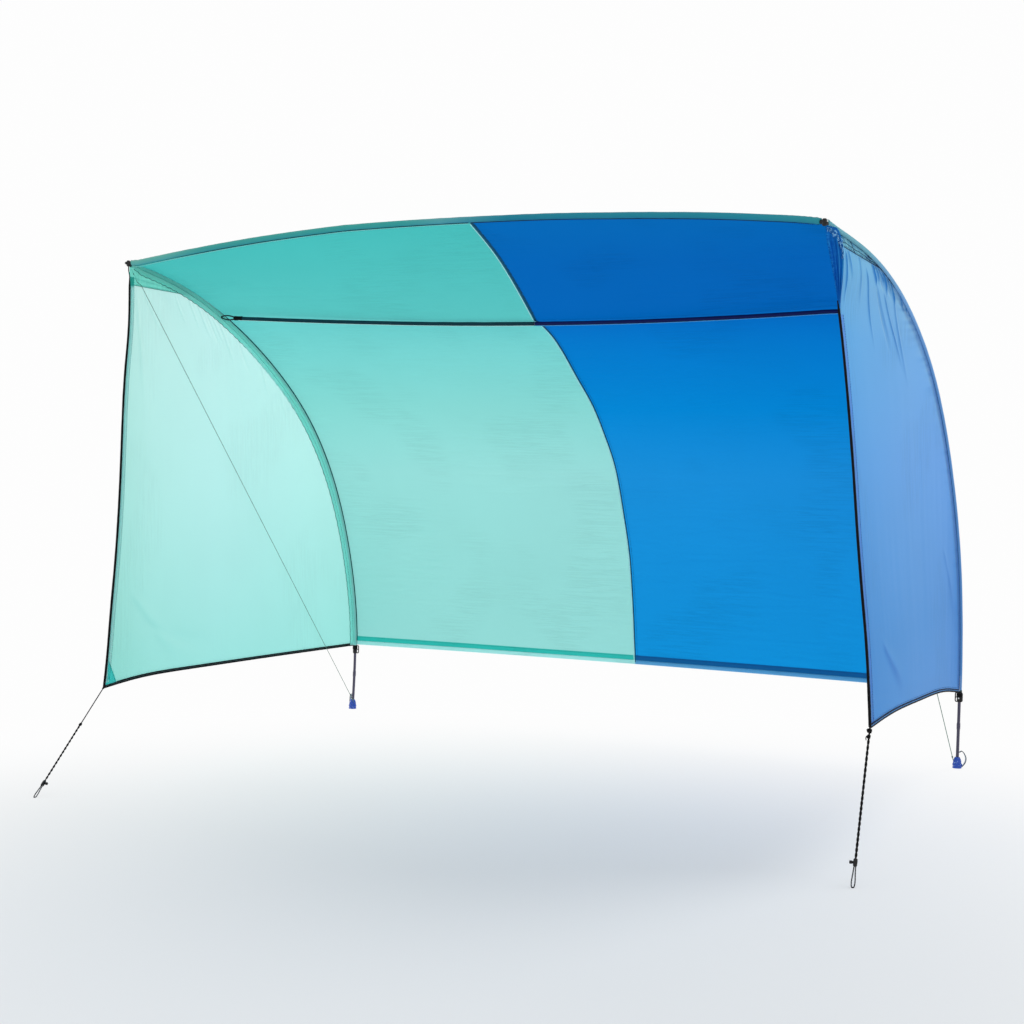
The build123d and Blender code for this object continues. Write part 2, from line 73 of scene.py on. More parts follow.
def spline(points, n=400):
    """Natural cubic spline through the points, n evenly spaced positions along it."""
    p = np.asarray(points, float)
    d = np.linalg.norm(np.diff(p, axis=0), axis=1)
    t = np.concatenate([[0], np.cumsum(d)])
    m = len(t)
    h = np.diff(t)
    A = np.zeros((m, m))
    B = np.zeros((m, p.shape[1]))
    A[0, 0] = A[-1, -1] = 1
    for i in range(1, m - 1):
        A[i, i - 1], A[i, i], A[i, i + 1] = h[i - 1], 2 * (h[i - 1] + h[i]), h[i]
        B[i] = 6 * ((p[i + 1] - p[i]) / h[i] - (p[i] - p[i - 1]) / h[i - 1])
    M = np.linalg.solve(A, B)
    x = np.linspace(0, t[-1], n * 4)
    k = np.clip(np.searchsorted(t, x, side="right") - 1, 0, m - 2)
    a, b, hh = (t[k + 1] - x)[:, None], (x - t[k])[:, None], h[k][:, None]
    q = (M[k] * a ** 3 + M[k + 1] * b ** 3) / (6 * hh) + (p[k] / hh - M[k] * hh / 6) * a + (p[k + 1] / hh - M[k + 1] * hh / 6) * b
    return even(q, n)


def even(points, n):
    """n positions evenly spaced along a polyline."""
    p = np.asarray(points, float)
    d = np.concatenate([[0], np.cumsum(np.linalg.norm(np.diff(p, axis=0), axis=1))])
    x = np.linspace(0, d[-1], n)
    return np.stack([np.interp(x, d, p[:, i]) for i in range(p.shape[1])], 1)


def length(points):
    return float(np.linalg.norm(np.diff(np.asarray(points, float), axis=0), axis=1).sum())


def cut_z(points, z):
    """The part of a falling line above z, ending at z."""
    p = np.asarray(points, float)
    k = int(np.argmax(p[:, 2] < z)) if (p[:, 2] < z).any() else len(p)
    if k == 0 or k == len(p):
        return p
    f = (p[k - 1, 2] - z) / (p[k - 1, 2] - p[k, 2])
    return np.vstack([p[:k], p[k - 1] + (p[k] - p[k - 1]) * f])


def from_z(points, z):
    """The part of a falling line below z, starting at z."""
    p = np.asarray(points, float)
    k = int(np.argmax(p[:, 2] < z))
    f = (p[k - 1, 2] - z) / (p[k - 1, 2] - p[k, 2])
    return np.vstack([p[k - 1] + (p[k] - p[k - 1]) * f, p[k:]])


def mir(p, s):
    q = np.array(p, float)
    q[..., 0] *= s
    return q


def n3(x, y, z=0.0):
    return noise.noise(Vector((float(x), float(y), float(z))))


def field(fx, fy, seed, octaves=1):
    """Smooth noise over arrays of two coordinates."""
    out = np.zeros(fx.shape)
    flat_x, flat_y, o = fx.ravel(), fy.ravel(), out.ravel()
    for i in range(len(flat_x)):
        v, a = 0.0, 1.0
        x, y = flat_x[i], flat_y[i]
        for k in range(octaves):
            v += a * noise.noise(Vector((x, y, seed + 7.3 * k)))
            x, y, a = x * 2.03, y * 2.03, a * .5
        o[i] = v
    return o.reshape(fx.shape)


def smooth(x, a, b):
    t = np.clip((x - a) / (b - a), 0, 1)
    return t * t * (3 - 2 * t)


def link(obj):
    bpy.context.scene.collection.objects.link(obj)
    return obj


def mesh_obj(name, verts, faces, uvs=None, smooth_shade=True, mats=(), fold=None):
    me = bpy.data.meshes.new(name)
    me.from_pydata([tuple(map(float, v)) for v in verts], [], faces)
    if uvs is not None:
        layer = me.uv_layers.new(name="UVMap")
        idx = np.zeros(len(me.loops), int)
        me.loops.foreach_get("vertex_index", idx)
        layer.data.foreach_set("uv", np.asarray(uvs, float)[idx].ravel())
    if fold is not None:
        me.attributes.new("fold", "FLOAT", "POINT").data.foreach_set("value", np.clip(np.asarray(fold, float).ravel(), -1, 1))
    me.update()
    if smooth_shade:
        me.polygons.foreach_set("use_smooth", [True] * len(me.polygons))
    o = link(bpy.data.objects.new(name, me))
    for m in mats:
        me.materials.append(m)
    return o


def grid_faces(rows, cols, close=False, flip=False):
    f = []
    for j in range(rows - 1):
        for i in range(cols if close else cols - 1):
            a, b = j * cols + i, j * cols + (i + 1) % cols
            c, d = b + cols, a + cols
            f.append((a, d, c, b) if flip else (a, b, c, d))
    return f


def grid_obj(name, P, uv, mat, flip=False, fold=None):
    rows, cols = P.shape[:2]
    return mesh_obj(name, (P + OFF).reshape(-1, 3), grid_faces(rows, cols, flip=flip), np.asarray(uv).reshape(-1, 2), mats=[mat], fold=fold)


def normals(P):
    du = np.gradient(P, axis=1)
    dv = np.gradient(P, axis=0)
    return unit(np.cross(du, dv))


def frames(path):
    """Tangent and two normals carried along a path without twist."""
    p = np.asarray(path, float)
    t = unit(np.gradient(p, axis=0))
    up = np.array([0, 0, 1.0]) if abs(t[0, 2]) < .9 else np.array([0, 1.0, 0])
    n = unit(np.cross(np.cross(t[0], up), t[0]))
    ns = [n]
    for i in range(1, len(p)):
        n = ns[-1] - t[i] * np.dot(ns[-1], t[i])
        ns.append(unit(n))
    ns = np.array(ns)
    return t, ns, np.cross(t, ns)


def tube(name, path, radius, mat, segs=16, caps=True, section=None, twist=0.0, rib=None):
    """Round tube along a path; radius is a number or one per point; section scales the two axes."""
    p = np.asarray(path, float)
    t, n, b = frames(p)
    r = np.broadcast_to(np.asarray(radius, float), (len(p),))
    d = np.concatenate([[0], np.cumsum(np.linalg.norm(np.diff(p, axis=0), axis=1))])
    sa, sb = section or (1, 1)
    verts, uvs = [], []
    for i in range(len(p)):
        for k in range(segs):
            a = 2 * math.pi * k / segs + twist * d[i]
            rr = r[i] * (rib(2 * math.pi * k / segs, d[i]) if rib else 1)
            verts.append(p[i] + n[i] * math.cos(a) * rr * sa + b[i] * math.sin(a) * rr * sb)
            uvs.append((k / segs, d[i]))
    faces = grid_faces(len(p), segs, close=True)
    if caps:
        faces.append(tuple(reversed(range(segs))))
        faces.append(tuple(range((len(p) - 1) * segs, len(p) * segs)))
    verts = np.array(verts) + OFF
    return mesh_obj(name, verts, faces, uvs, mats=[mat])


def ribbon(name, path, half, normal, thick, mat, flip=False):
    """Flat tape along a path, half wide to each side across the given normals, with real thickness."""
    p = np.asarray(path, float)
    t = unit(np.gradient(p, axis=0))
    n = unit(np.broadcast_to(np.asarray(normal, float), p.shape) - 0)
    n = unit(n - t * (n * t).sum(1, keepdims=True))
    b = np.cross(t, n)
    d = np.concatenate([[0], np.cumsum(np.linalg.norm(np.diff(p, axis=0), axis=1))])
    h = np.broadcast_to(np.asarray(half, float), (len(p),))[:, None]
    ring = [p - b * h + n * thick / 2, p + b * h + n * thick / 2, p + b * h - n * thick / 2, p - b * h - n * thick / 2]
    us = [0, 1, 1, 0]
    P = np.stack(ring, 1)
    UVr = [(us[k], d[i]) for i in range(len(p)) for k in range(4)]
    faces = grid_faces(len(p), 4, close=True)
    faces.append((3, 2, 1, 0))
    faces.append(tuple((len(p) - 1) * 4 + k for k in range(4)))
    o = mesh_obj(name, P.reshape(-1, 3) + OFF, faces, UVr, smooth_shade=False, mats=[mat])
    return o


def stitches(name, line, out, mat, pitch=.0085, size=(.0028, .00055), skip=0.0):
    """A row of thread stitches along a line, raised along out."""
    p = np.asarray(line, float)
    o = np.broadcast_to(np.asarray(out, float), p.shape)
    d = np.concatenate([[0], np.cumsum(np.linalg.norm(np.diff(p, axis=0), axis=1))])
    at = np.arange(pitch / 2 + skip, d[-1] - pitch / 2, pitch)
    c = np.stack([np.interp(at, d, p[:, i]) for i in range(3)], 1)
    n = unit(np.stack([np.interp(at, d, o[:, i]) for i in range(3)], 1))
    t = unit(np.stack([np.interp(at + 1e-3, d, p[:, i]) - np.interp(at - 1e-3, d, p[:, i]) for i in range(3)], 1))
    b = np.cross(t, n)
    l, r = size
    verts, faces = [], []
    for i in range(len(at)):
        k = len(verts)
        verts.append(c[i] - t[i] * l)
        for sx in (-.55, .55):
            for a in range(4):
                an = math.pi / 4 + a * math.pi / 2
                verts.append(c[i] + t[i] * l * sx + n[i] * r * math.sin(an) + b[i] * r * math.cos(an))
        verts.append(c[i] + t[i] * l)
        for a in range(4):
            a2 = (a + 1) % 4
            faces.append((k, k + 1 + a2, k + 1 + a))
            faces.append((k + 1 + a, k + 1 + a2, k + 5 + a2, k + 5 + a))
            faces.append((k + 9, k + 5 + a, k + 5 + a2))
    return mesh_obj(name, np.array(verts) + OFF, faces, mats=[mat])


def coil(start, axis, radius, turns, pitch, n=24, phase=0.0):
    axis = unit(axis)
    ref = np.array([0, 0, 1.0]) if abs(axis[2]) < .9 else np.array([1.0, 0, 0])
    u = unit(np.cross(axis, ref))
    v = np.cross(axis, u)
    a = np.linspace(0, 2 * math.pi * turns, int(n * turns) + 1)
    return np.asarray(start) + axis * (a / (2 * math.pi) * pitch)[:, None] + (u * np.cos(a + phase)[:, None] + v * np.sin(a + phase)[:, None]) * radius


def twisted(name, start, end, strand_r, helix_r, pitch, mat, strands=2, n=14):
    """Strands laid round each other from start to end."""
    start, end = np.asarray(start, float), np.asarray(end, float)
    L = float(np.linalg.norm(end - start))
    out = []
    for k in range(strands):
        path = coil(start, end - start, helix_r, L / pitch, pitch, n=n, phase=2 * math.pi * k / strands)
        out.append(tube(f"{name}_{k}", path, strand_r, mat, segs=8))
    return join(name, out)


def lathe(name, start, axis, profile, mat, segs=28, rib=None, flat=False):
    """Solid of revolution: profile is a list of (distance along the axis, radius)."""
    axis = unit(axis)
    ref = np.array([0, 0, 1.0]) if abs(axis[2]) < .9 else np.array([1.0, 0, 0])
    n = unit(np.cross(axis, ref))
    b = np.cross(axis, n)
    verts, uvs = [], []
    for d, r in profile:
        for k in range(segs):
            a = 2 * math.pi * k / segs
            rr = r * (rib(a, d) if rib else 1)
            verts.append(np.asarray(start) + axis * d + (n * math.cos(a) + b * math.sin(a)) * rr)
            uvs.append((k / segs, d))
    faces = grid_faces(len(profile), segs, close=True, flip=False)
    faces.append(tuple(reversed(range(segs))))
    faces.append(tuple(range((len(profile) - 1) * segs, len(profile) * segs)))
    return mesh_obj(name, np.array(verts) + OFF, faces, uvs, smooth_shade=not flat, mats=[mat])


def join(name, objs):
    """One object out of several."""
    verts, faces, uvs, base, mats, mi = [], [], [], 0, [], []
    for o in objs:
        me = o.data
        v = np.zeros(len(me.vertices) * 3)
        me.vertices.foreach_get("co", v)
        verts.append(v.reshape(-1, 3))
        for p in me.polygons:
            faces.append(tuple(base + i for i in p.vertices))
            m = me.materials[p.material_index] if me.materials else None
            if m not in mats:
                mats.append(m)
            mi.append(mats.index(m))
            for li in p.loop_indices:
                uvs.append(tuple(me.uv_layers[0].data[li].uv) if me.uv_layers else (0, 0))
        base += len(me.vertices)
        bpy.data.objects.remove(o, do_unlink=True)
    me = bpy.data.meshes.new(name)
    me.from_pydata([tuple(x) for x in np.vstack(verts)], [], faces)
    layer = me.uv_layers.new(name="UVMap")
    layer.data.foreach_set("uv", np.array(uvs, float).ravel())
    for m in mats:
        me.materials.append(m)
    me.polygons.foreach_set("material_index", mi)
    me.polygons.foreach_set("use_smooth", [True] * len(me.polygons))
    me.update()
    return link(bpy.data.objects.new(name, me))


# ------------------------------------------------------------------ materials
def C(r, g, b):
    """sRGB 0..255 to linear."""
    return tuple((x / 255) / 12.92 if x <= 10.3 else ((x / 255 + .055) / 1.055) ** 2.4 for x in (r, g, b))


W1 = (1.0, 1.0, 1.0)


class Tree:
    """Small helper to write a node tree in one line a node."""

    def __init__(self, name):
        self.mat = bpy.data.materials.new(name)
        self.mat.use_nodes = True
        self.nt = self.mat.node_tree
        self.nt.nodes.clear()

    def node(self, kind, **kw):
        n = self.nt.nodes.new(kind)
        for k, v in kw.items():
            setattr(n, k, v)
        return n

    def link(self, a, b):
        self.nt.links.new(a, b)

    def put(self, a, socket):
        if isinstance(a, (int, float)):
            socket.default_value = a
        elif isinstance(a, tuple):
            socket.default_value = (*a[:3], 1)
        else:
            self.link(a, socket)

    def op(self, kind, a, b=None, c=None, clamp=False):
        n = self.node("ShaderNodeMath", operation=kind, use_clamp=clamp)
        for v, s in zip((a, b, c), n.inputs):
            if v is not None:
                self.put(v, s)
        return n.outputs[0]

    def mix(self, fac, a, b, blend="MIX"):
        n = self.node("ShaderNodeMix", data_type="RGBA", blend_type=blend)
        self.put(fac, n.inputs[0])
        self.put(a, n.inputs[6])
        self.put(b, n.inputs[7])
        return n.outputs[2]

    def grey(self, v):
        n = self.node("ShaderNodeCombineColor")
        for i in range(3):
            self.put(v, n.inputs[i])
        return n.outputs[0]

    def ramp(self, value, stops):
        n = self.node("ShaderNodeValToRGB")
        cr = n.color_ramp
        cr.interpolation = "LINEAR"
        while len(cr.elements) < len(stops):
            cr.elements.new(.5)
        for e, (pos, col) in zip(cr.elements, sorted(stops)):
            e.position = pos
            e.color = (*col, 1)
        self.link(value, n.inputs[0])
        return n.outputs[0]

    def range(self, value, a, b, lo=0.0, hi=1.0, smooth=True):
        n = self.node("ShaderNodeMapRange", interpolation_type="SMOOTHSTEP" if smooth else "LINEAR")
        for i, v in zip((1, 2, 3, 4), (a, b, lo, hi)):
            n.inputs[i].default_value = v
        self.link(value, n.inputs[0])
        return n.outputs[0]

    def uv(self):
        u = self.node("ShaderNodeUVMap", uv_map="UVMap")
        s = self.node("ShaderNodeSeparateXYZ")
        self.link(u.outputs[0], s.inputs[0])
        return u.outputs[0], s.outputs[0], s.outputs[1]

    def noise(self, vec, scale, detail=2.0, dims="3D", rough=.5, stretch=None):
        if stretch:
            m = self.node("ShaderNodeMapping")
            m.inputs["Scale"].default_value = stretch
            self.link(vec, m.inputs["Vector"])
            vec = m.outputs[0]
        n = self.node("ShaderNodeTexNoise", noise_dimensions=dims)
        n.inputs["Scale"].default_value = scale
        n.inputs["Detail"].default_value = detail
        n.inputs["Roughness"].default_value = rough
        self.link(vec, n.inputs["Vector"])
        return n.outputs["Fac"]

    def done(self, shader):
        out = self.node("ShaderNodeOutputMaterial")
        self.link(shader, out.inputs["Surface"])
        return self.mat


def cloth(name, stops, rng, share=.5, rough=.55, spec=.2, ripple_shade=None, mottle=.04, ring=None, across=None,
          sheen=0.0, fold=None, bump=.35):
    """Thin coated ripstop: reflects and lets light through. stops colour it along UV's second axis over rng;
    across = (stops, range) multiplies along the first axis; the ripple shade argument (x, y scale, depth) is painted
    shade along the ridges of fine ripples, which the bump also raises."""
    T = Tree(name)
    uv, u, v = T.uv()
    col = T.ramp(T.range(v, rng[0], rng[1], smooth=False), stops)
    coord = T.node("ShaderNodeTexCoord")
    m = T.op("MULTIPLY_ADD", T.noise(coord.outputs["Object"], 2.2, 3.0), 2 * mottle, 1 - mottle)
    # ripstop net, a heavier thread every 5 mm each way
    net = [T.op("LESS_THAN", T.op("FRACT", T.op("MULTIPLY", a, 200.0)), .16) for a in (u, v)]
    net = T.op("MAXIMUM", net[0], net[1])
    m = T.op("MULTIPLY", m, T.op("MULTIPLY_ADD", net, -.03, 1.0))
    height = T.op("MULTIPLY", net, .12)
    # painted shade: the colour darkens along the ridges of fine ripples, which the bump raises
    if ripple_shade:
        sx, sy, depth = ripple_shade
        f = T.noise(uv, 1.0, 2.5, "2D", .6, (sx, sy, 1))
        ridge = T.op("POWER", T.op("SUBTRACT", 1.0, T.op("MULTIPLY", T.op("ABSOLUTE", T.op("SUBTRACT", f, .5)), 5.0), clamp=True), 3.0)
        where = T.range(T.noise(uv, 2.7, 1.5, "2D"), .46, .66)
        k = T.op("MULTIPLY", ridge, where)
        m = T.op("MULTIPLY", m, T.op("MULTIPLY_ADD", k, -depth, 1.0))
        height = T.op("ADD", height, T.op("MULTIPLY", k, 1.0))
    col = T.mix(1.0, col, T.grey(m), "MULTIPLY")
    if across:
        col = T.mix(1.0, col, T.ramp(T.range(u, across[1][0], across[1][1], smooth=False), across[0]), "MULTIPLY")
    if ring:
        col = T.mix(1.0, col, T.ramp(u, ring), "MULTIPLY")
    if fold:      # painted shade in the folds and painted highlights on their crests, read from the fold attribute
        at = T.node("ShaderNodeAttribute", attribute_name="fold")
        f = T.range(at.outputs["Fac"], -1.0, 1.0, smooth=False)
        col = T.mix(1.0, col, T.ramp(f, [(0, fold[1]), (.5, W1), (1, fold[0])]), "MULTIPLY")
    bp = T.node("ShaderNodeBump")
    bp.inputs["Strength"].default_value = bump
    bp.inputs["Distance"].default_value = .0015
    T.link(height, bp.inputs["Height"])
    pr = T.node("ShaderNodeBsdfPrincipled")
    T.link(col, pr.inputs["Base Color"])
    pr.inputs["Roughness"].default_value = rough
    pr.inputs["Specular IOR Level"].default_value = spec
    if sheen:
        pr.inputs["Sheen Weight"].default_value = sheen
        pr.inputs["Sheen Roughness"].default_value = .35
    tr = T.node("ShaderNodeBsdfTranslucent")
    T.link(col, tr.inputs["Color"])
    T.link(bp.outputs[0], pr.inputs["Normal"])
    T.link(bp.outputs[0], tr.inputs["Normal"])
    mx = T.node("ShaderNodeMixShader")
    mx.inputs[0].default_value = share
    T.link(pr.outputs[0], mx.inputs[1])
    T.link(tr.outputs[0], mx.inputs[2])
    return T.done(mx.outputs[0])


def solid(name, color, rough=.45, spec=.5, vary=.25, scale=60.0, bump=.15, dist=.0004, weave=None, ring=None,
          fleck=None, metallic=0.0, wear_and_glint=None):
    """Opaque plastic, pole, cord or webbing. weave = threads per unit of UV; fleck = (colour, rows per metre,
    share, turn) is a tracer thread; ring multiplies by UV's first axis; the wear and glint argument (colour, amount) is
    light flecks: scuffs on the black plastic, painted highlights on the blue foot."""
    T = Tree(name)
    coord = T.node("ShaderNodeTexCoord")
    fac = T.noise(coord.outputs["Object"], scale, 4.0)
    m = T.op("MULTIPLY_ADD", fac, 2 * vary, 1 - vary)
    height = fac
    uv, u, v = T.uv()
    if weave:
        a, b = T.op("MULTIPLY", u, weave[0]), T.op("MULTIPLY", v, weave[1])
        w = T.op("MAXIMUM", T.op("SINE", T.op("MULTIPLY", T.op("ADD", a, b), 6.2832)),
                 T.op("SINE", T.op("MULTIPLY", T.op("SUBTRACT", a, b), 6.2832)))
        m = T.op("MULTIPLY", m, T.op("MULTIPLY_ADD", w, .3, .75))
        height = w
    col = T.mix(1.0, color, T.grey(m), "MULTIPLY")
    if fleck:
        k = T.op("FRACT", T.op("ADD", T.op("MULTIPLY", v, fleck[1]), T.op("MULTIPLY", u, fleck[3])))
        col = T.mix(T.op("LESS_THAN", k, fleck[2]), col, fleck[0])
    # light flecks from noise: scuffs on the black plastic, painted highlights on the blue foot
    if wear_and_glint:
        scuff_and_glint = T.range(T.noise(coord.outputs["Object"], 140.0, 3.0), .58, .72, 0.0, wear_and_glint[1])
        col = T.mix(scuff_and_glint, col, wear_and_glint[0])
    if ring:
        col = T.mix(1.0, col, T.ramp(u, ring), "MULTIPLY")
    bp = T.node("ShaderNodeBump")
    bp.inputs["Strength"].default_value = bump
    bp.inputs["Distance"].default_value = dist
    T.link(height, bp.inputs["Height"])
    pr = T.node("ShaderNodeBsdfPrincipled")
    T.link(col, pr.inputs["Base Color"])
    T.link(bp.outputs[0], pr.inputs["Normal"])
    pr.inputs["Roughness"].default_value = rough
    pr.inputs["Specular IOR Level"].default_value = spec
    pr.inputs["Metallic"].default_value = metallic
    return T.done(pr.outputs[0])


LEN = 2.37          # lip to hem along the cloth
# Lip-to-hem ramps of the canopy: darker and deeper on the roof, a step lighter below the bar, palest low on the back:
# painted shade and painted light on evenly dyed cloth
TEAL_WITH_PAINTED_LIGHT = [(0, (.062, .545, .52)), (.10, (.078, .55, .53)), (.222, (.105, .575, .555)), (.25, (.150, .635, .625)),
        (.33, (.195, .68, .66)), (.48, (.265, .715, .675)), (.62, (.345, .765, .73)), (1, (.32, .75, .71))]
BLUE_WITH_PAINTED_LIGHT = [(0, (.0, .152, .51)), (.12, (.0, .135, .50)), (.222, (.0, .138, .51)), (.25, (.0, .170, .59)),
        (.33, (.0, .205, .63)), (.48, (.0, .255, .69)), (.62, (.010, .29, .73)), (1, (.004, .305, .74))]
m_teal = cloth("teal_ripstop", TEAL_WITH_PAINTED_LIGHT, (0, LEN), ripple_shade=(3, 80, .06), spec=.15)
m_blue = cloth("blue_ripstop", BLUE_WITH_PAINTED_LIGHT, (0, LEN), ripple_shade=(3, 80, .09), rough=.65, spec=.04)
# Wall ramps run from the top down, lighter near the top: painted light, and on the right wall painted sheen; fold
# paints shade in the wrinkles and highlights on their crests; across darkens each wall toward its edges
WALL_L_WITH_PAINTED_LIGHT = [(0, (.70, .955, .92)), (.25, (.62, .935, .89)), (.55, (.54, .91, .86)), (1, (.37, .82, .76))]
m_wall_l = cloth("pale_teal_ripstop", WALL_L_WITH_PAINTED_LIGHT, (0, 1.5), ripple_shade=(60, 3, .035), spec=.1, fold=((.80, .90, .90), (1.08, 1.02, 1.02)),
                 across=([(0, (.78, .89, .84)), (.25, (.93, .97, .95)), (.6, W1), (1, W1)], (-.3, .7)))
WALL_R_WITH_PAINTED_LIGHT = [(0, (.37, .76, 1.0)), (.1, (.34, .70, 1.0)), (.2, (.25, .60, .99)), (.45, (.20, .50, .95)), (.8, (.115, .375, .80)), (1, (.115, .355, .78))]
m_wall_r = cloth("light_blue_ripstop", WALL_R_WITH_PAINTED_LIGHT, (0, 1.5), ripple_shade=(60, 3, .07), spec=.2, rough=.5, fold=((.16, .46, .76), (1.45, 1.15, 1.0)),
                 across=([(0, (.55, .80, .90)), (.20, (.76, .89, .94)), (.5, (1, .97, .97)), (.86, (1, .97, .97)), (.93, (.90, .92, .95)), (1, (.75, .86, .92))], (-.2, 1.2)))
# The gathered strip at the right front is the wall's own light blue cloth: its dark base colour is painted shade where
# it faces away from the light, and fold paints highlights on its pleats and shade between them
m_gather_shade_r = cloth("gathered_blue_ripstop_painted_shade", [(0, (.004, .16, .55)), (1, (.010, .20, .62))], (0, .22), spec=.05, share=.4,
                 fold=((.3, .45, .6), (9, 2.6, 1.45)), across=([(0, (.6, .9, 1)), (.1, (.7, .9, 1)), (.55, W1), (1, W1)], (0, 1)), ripple_shade=(20, 6, .35))
FACE = [(0, (.34, .86, .76)), (1, (.40, .92, .84))]
m_face_l = cloth("sleeve_facing_ripstop", FACE, (0, 2.0), share=.45, ripple_shade=(60, 20, .10))
m_face_r = cloth("sleeve_facing_ripstop_right", [(0, (.03, .22, .50)), (1, (.02, .20, .52))], (0, 2.0), share=.4, ripple_shade=(60, 20, .2))
# Left sleeve tube: ring's dark band is painted shadow of the pole inside and the bright band beside it a painted
# highlight; the colour also lightens lower down, painted light
m_tube_l = cloth("pole_sleeve_teal", [(0, (.26, .76, .64)), (.25, (.32, .82, .73)), (1, (.36, .86, .79))], (0, 2.4), share=.3,
                 ring=[(0, W1), (.08, (.5, .7, .7)), (.11, (.05, .24, .25)), (.225, (.03, .20, .22)), (.26, (.5, .75, .75)), (.285, (1.35, 1.1, 1.1)), (.33, (1.2, 1.05, 1.05)), (.38, (1.0, 1.0, 1.0)), (.62, (1.15, 1.05, 1.05)), (1, W1)])
# Right sleeve tube: ring darkens one side of the tube, painted shade; the colour runs from teal-grey at the corner to
# deeper blue lower down
m_tube_r = cloth("pole_sleeve_pale_blue", [(0, (.24, .63, .74)), (.12, (.24, .62, .78)), (.20, (.26, .57, .90)), (.30, (.26, .55, .98)), (.45, (.19, .46, .90)), (1, (.14, .38, .80))], (0, 2.2), share=.3, spec=.1,
                 ring=[(0, (.72, .80, .78)), (.10, (.80, .86, .84)), (.20, (.85, .90, .88)), (.26, W1), (.44, W1), (.52, (.8, .88, .95)), (.7, W1), (.9, (.72, .80, .78)), (1, (.72, .80, .78))])
# Lip sleeve: teal on the left half, blue on the right; ring makes one side lighter and greyer and a band on the
# opposite side darker: painted light and painted shade round the tube
m_lip = cloth("lip_sleeve_ripstop", [(0, (.17, .60, .54)), (.05, (.14, .57, .52)), (.11, (.07, .48, .45)), (.40, (.052, .47, .445)), (.455, (.12, .50, .54)), (.49, (.08, .42, .50)), (.55, (.022, .30, .42)), (.90, (.024, .33, .44)), (1, (.04, .36, .42))], (0, 2.6), share=.25, spec=.1,
              ring=[(0, (1.5, .66, .68)), (.05, (1.4, .80, .84)), (.13, (1.45, 1.06, 1.02)), (.24, W1), (.40, (.80, .86, .98)), (.48, (.45, .66, .90)), (.56, (.25, .5, .7)), (.70, W1), (.92, (1.2, .9, .9)), (1, (1.5, .66, .68))])
# fold paints shade in the gussets' fine puckers and highlights on their crests
m_gus_l = cloth("gusset_double_ripstop", [(0, (.22, .76, .63)), (1, (.22, .76, .63))], (0, 1), share=.45, ripple_shade=(20, 60, .12), fold=((.85, .92, .92), (1.1, 1.03, 1.03)))
m_gus_r = cloth("gusset_double_ripstop_right", [(0, (.20, .56, .72)), (1, (.20, .56, .72))], (0, 1), share=.4, ripple_shade=(30, 60, .25), fold=((.35, .6, .75), (1.4, 1.2, 1.05)))
m_strip_l = cloth("edge_hem_pale_teal", [(0, (.10, .66, .58)), (.020, (.10, .66, .58)), (.0245, (.70, .96, .94)), (1, (.66, .95, .93))], (0, 1.5), share=.6,
                  across=([(0, (1.2, 1.02, 1.02)), (.14, (1.2, 1.02, 1.02)), (.2, (.88, .95, .95)), (.5, (.90, .95, .95)), (.56, (1.15, 1.02, 1.02)), (1, (1.1, 1.0, 1.0))], (0, 1)))
m_strip_r = cloth("edge_hem_blue", [(0, (.22, .55, .97)), (1, (.12, .38, .84))], (0, 1.5), share=.5,
                  across=([(0, W1), (.75, W1), (.85, (.6, .75, .88)), (1, W1)], (0, 1)))
m_patch_l = cloth("corner_patch_teal", [(0, (.09, .74, .70)), (1, (.09, .74, .70))], (0, 1), share=.5)
m_patch_r = cloth("corner_patch_blue", [(0, (.03, .22, .62)), (1, (.03, .22, .62))], (0, 1), share=.45)
m_hem_t = cloth("hem_double_teal", [(0, (.06, .69, .62)), (.47, (.04, .68, .62)), (.50, (.62, .99, .98)), (1, (.66, 1.0, 1.0))], (0, .04), share=.5, ripple_shade=(8, 60, .12))
m_hem_b = cloth("hem_double_blue", [(0, (.0, .19, .45)), (.47, (.0, .185, .42)), (.50, (.12, .50, .72)), (1, (.30, .70, .92))], (0, .04), share=.5, ripple_shade=(8, 60, .15))
m_seam = solid("felled_seam_dark", (.004, .035, .045), rough=.7, weave=(2, 900), bump=.3, spec=.2)
m_seam_lip = solid("lip_seam_dark", (.003, .03, .10), rough=.7, weave=(2, 900), bump=.3, spec=.2)
# pale teal lines: painted highlights along the sleeve facing's edge and beside the lip seam; also the corner patch's
# turned edge and the sleeve end's binding
m_edge_and_highlight_t = cloth("pale_teal_edge_and_painted_highlight", [(0, (.58, .96, .94)), (1, (.58, .96, .94))], (0, 1), share=.6)
# Bar channel: dark where the pole inside shades the cloth, painted shadow; the teal one's ring lightens one side,
# painted light. The navy one also draws the right arch seam's line
m_bar_shadow_t = solid("bar_channel_painted_pole_shadow_teal", (.002, .030, .045), rough=.6, spec=.15, ring=[(0, (1.5, 1.5, 1.5)), (.3, W1), (.46, (1, 1, 1)), (.54, (1, 1, 1)), (1, (1.5, 1.5, 1.5))])
m_navy_seam_and_bar_shadow = solid("navy_seam_and_painted_bar_shadow", (.001, .007, .085), rough=.6, spec=.15)
# pale lines under the bar channel and along the right sleeve facing: painted highlights
m_bar_highlight_t = solid("bar_channel_painted_highlight_pale", (.55, .85, .84), rough=.6, spec=.2)
m_bar_highlight_b = solid("bar_channel_painted_highlight_blue", (.10, .38, .70), rough=.6, spec=.2)
m_bind = solid("black_binding", (.0035, .0035, .005), rough=.7, weave=(4, 700), bump=.5, spec=.12)
m_bind_r = solid("navy_binding", (.004, .008, .035), rough=.7, weave=(4, 700), bump=.5, spec=.12)
m_hem_line = solid("hem_piping_grey", (.05, .085, .085), rough=.7, weave=(4, 700), bump=.5, spec=.12)
m_pipe_r = solid("hem_piping_blue", (.08, .25, .55), rough=.7, weave=(4, 700), bump=.5, spec=.12)
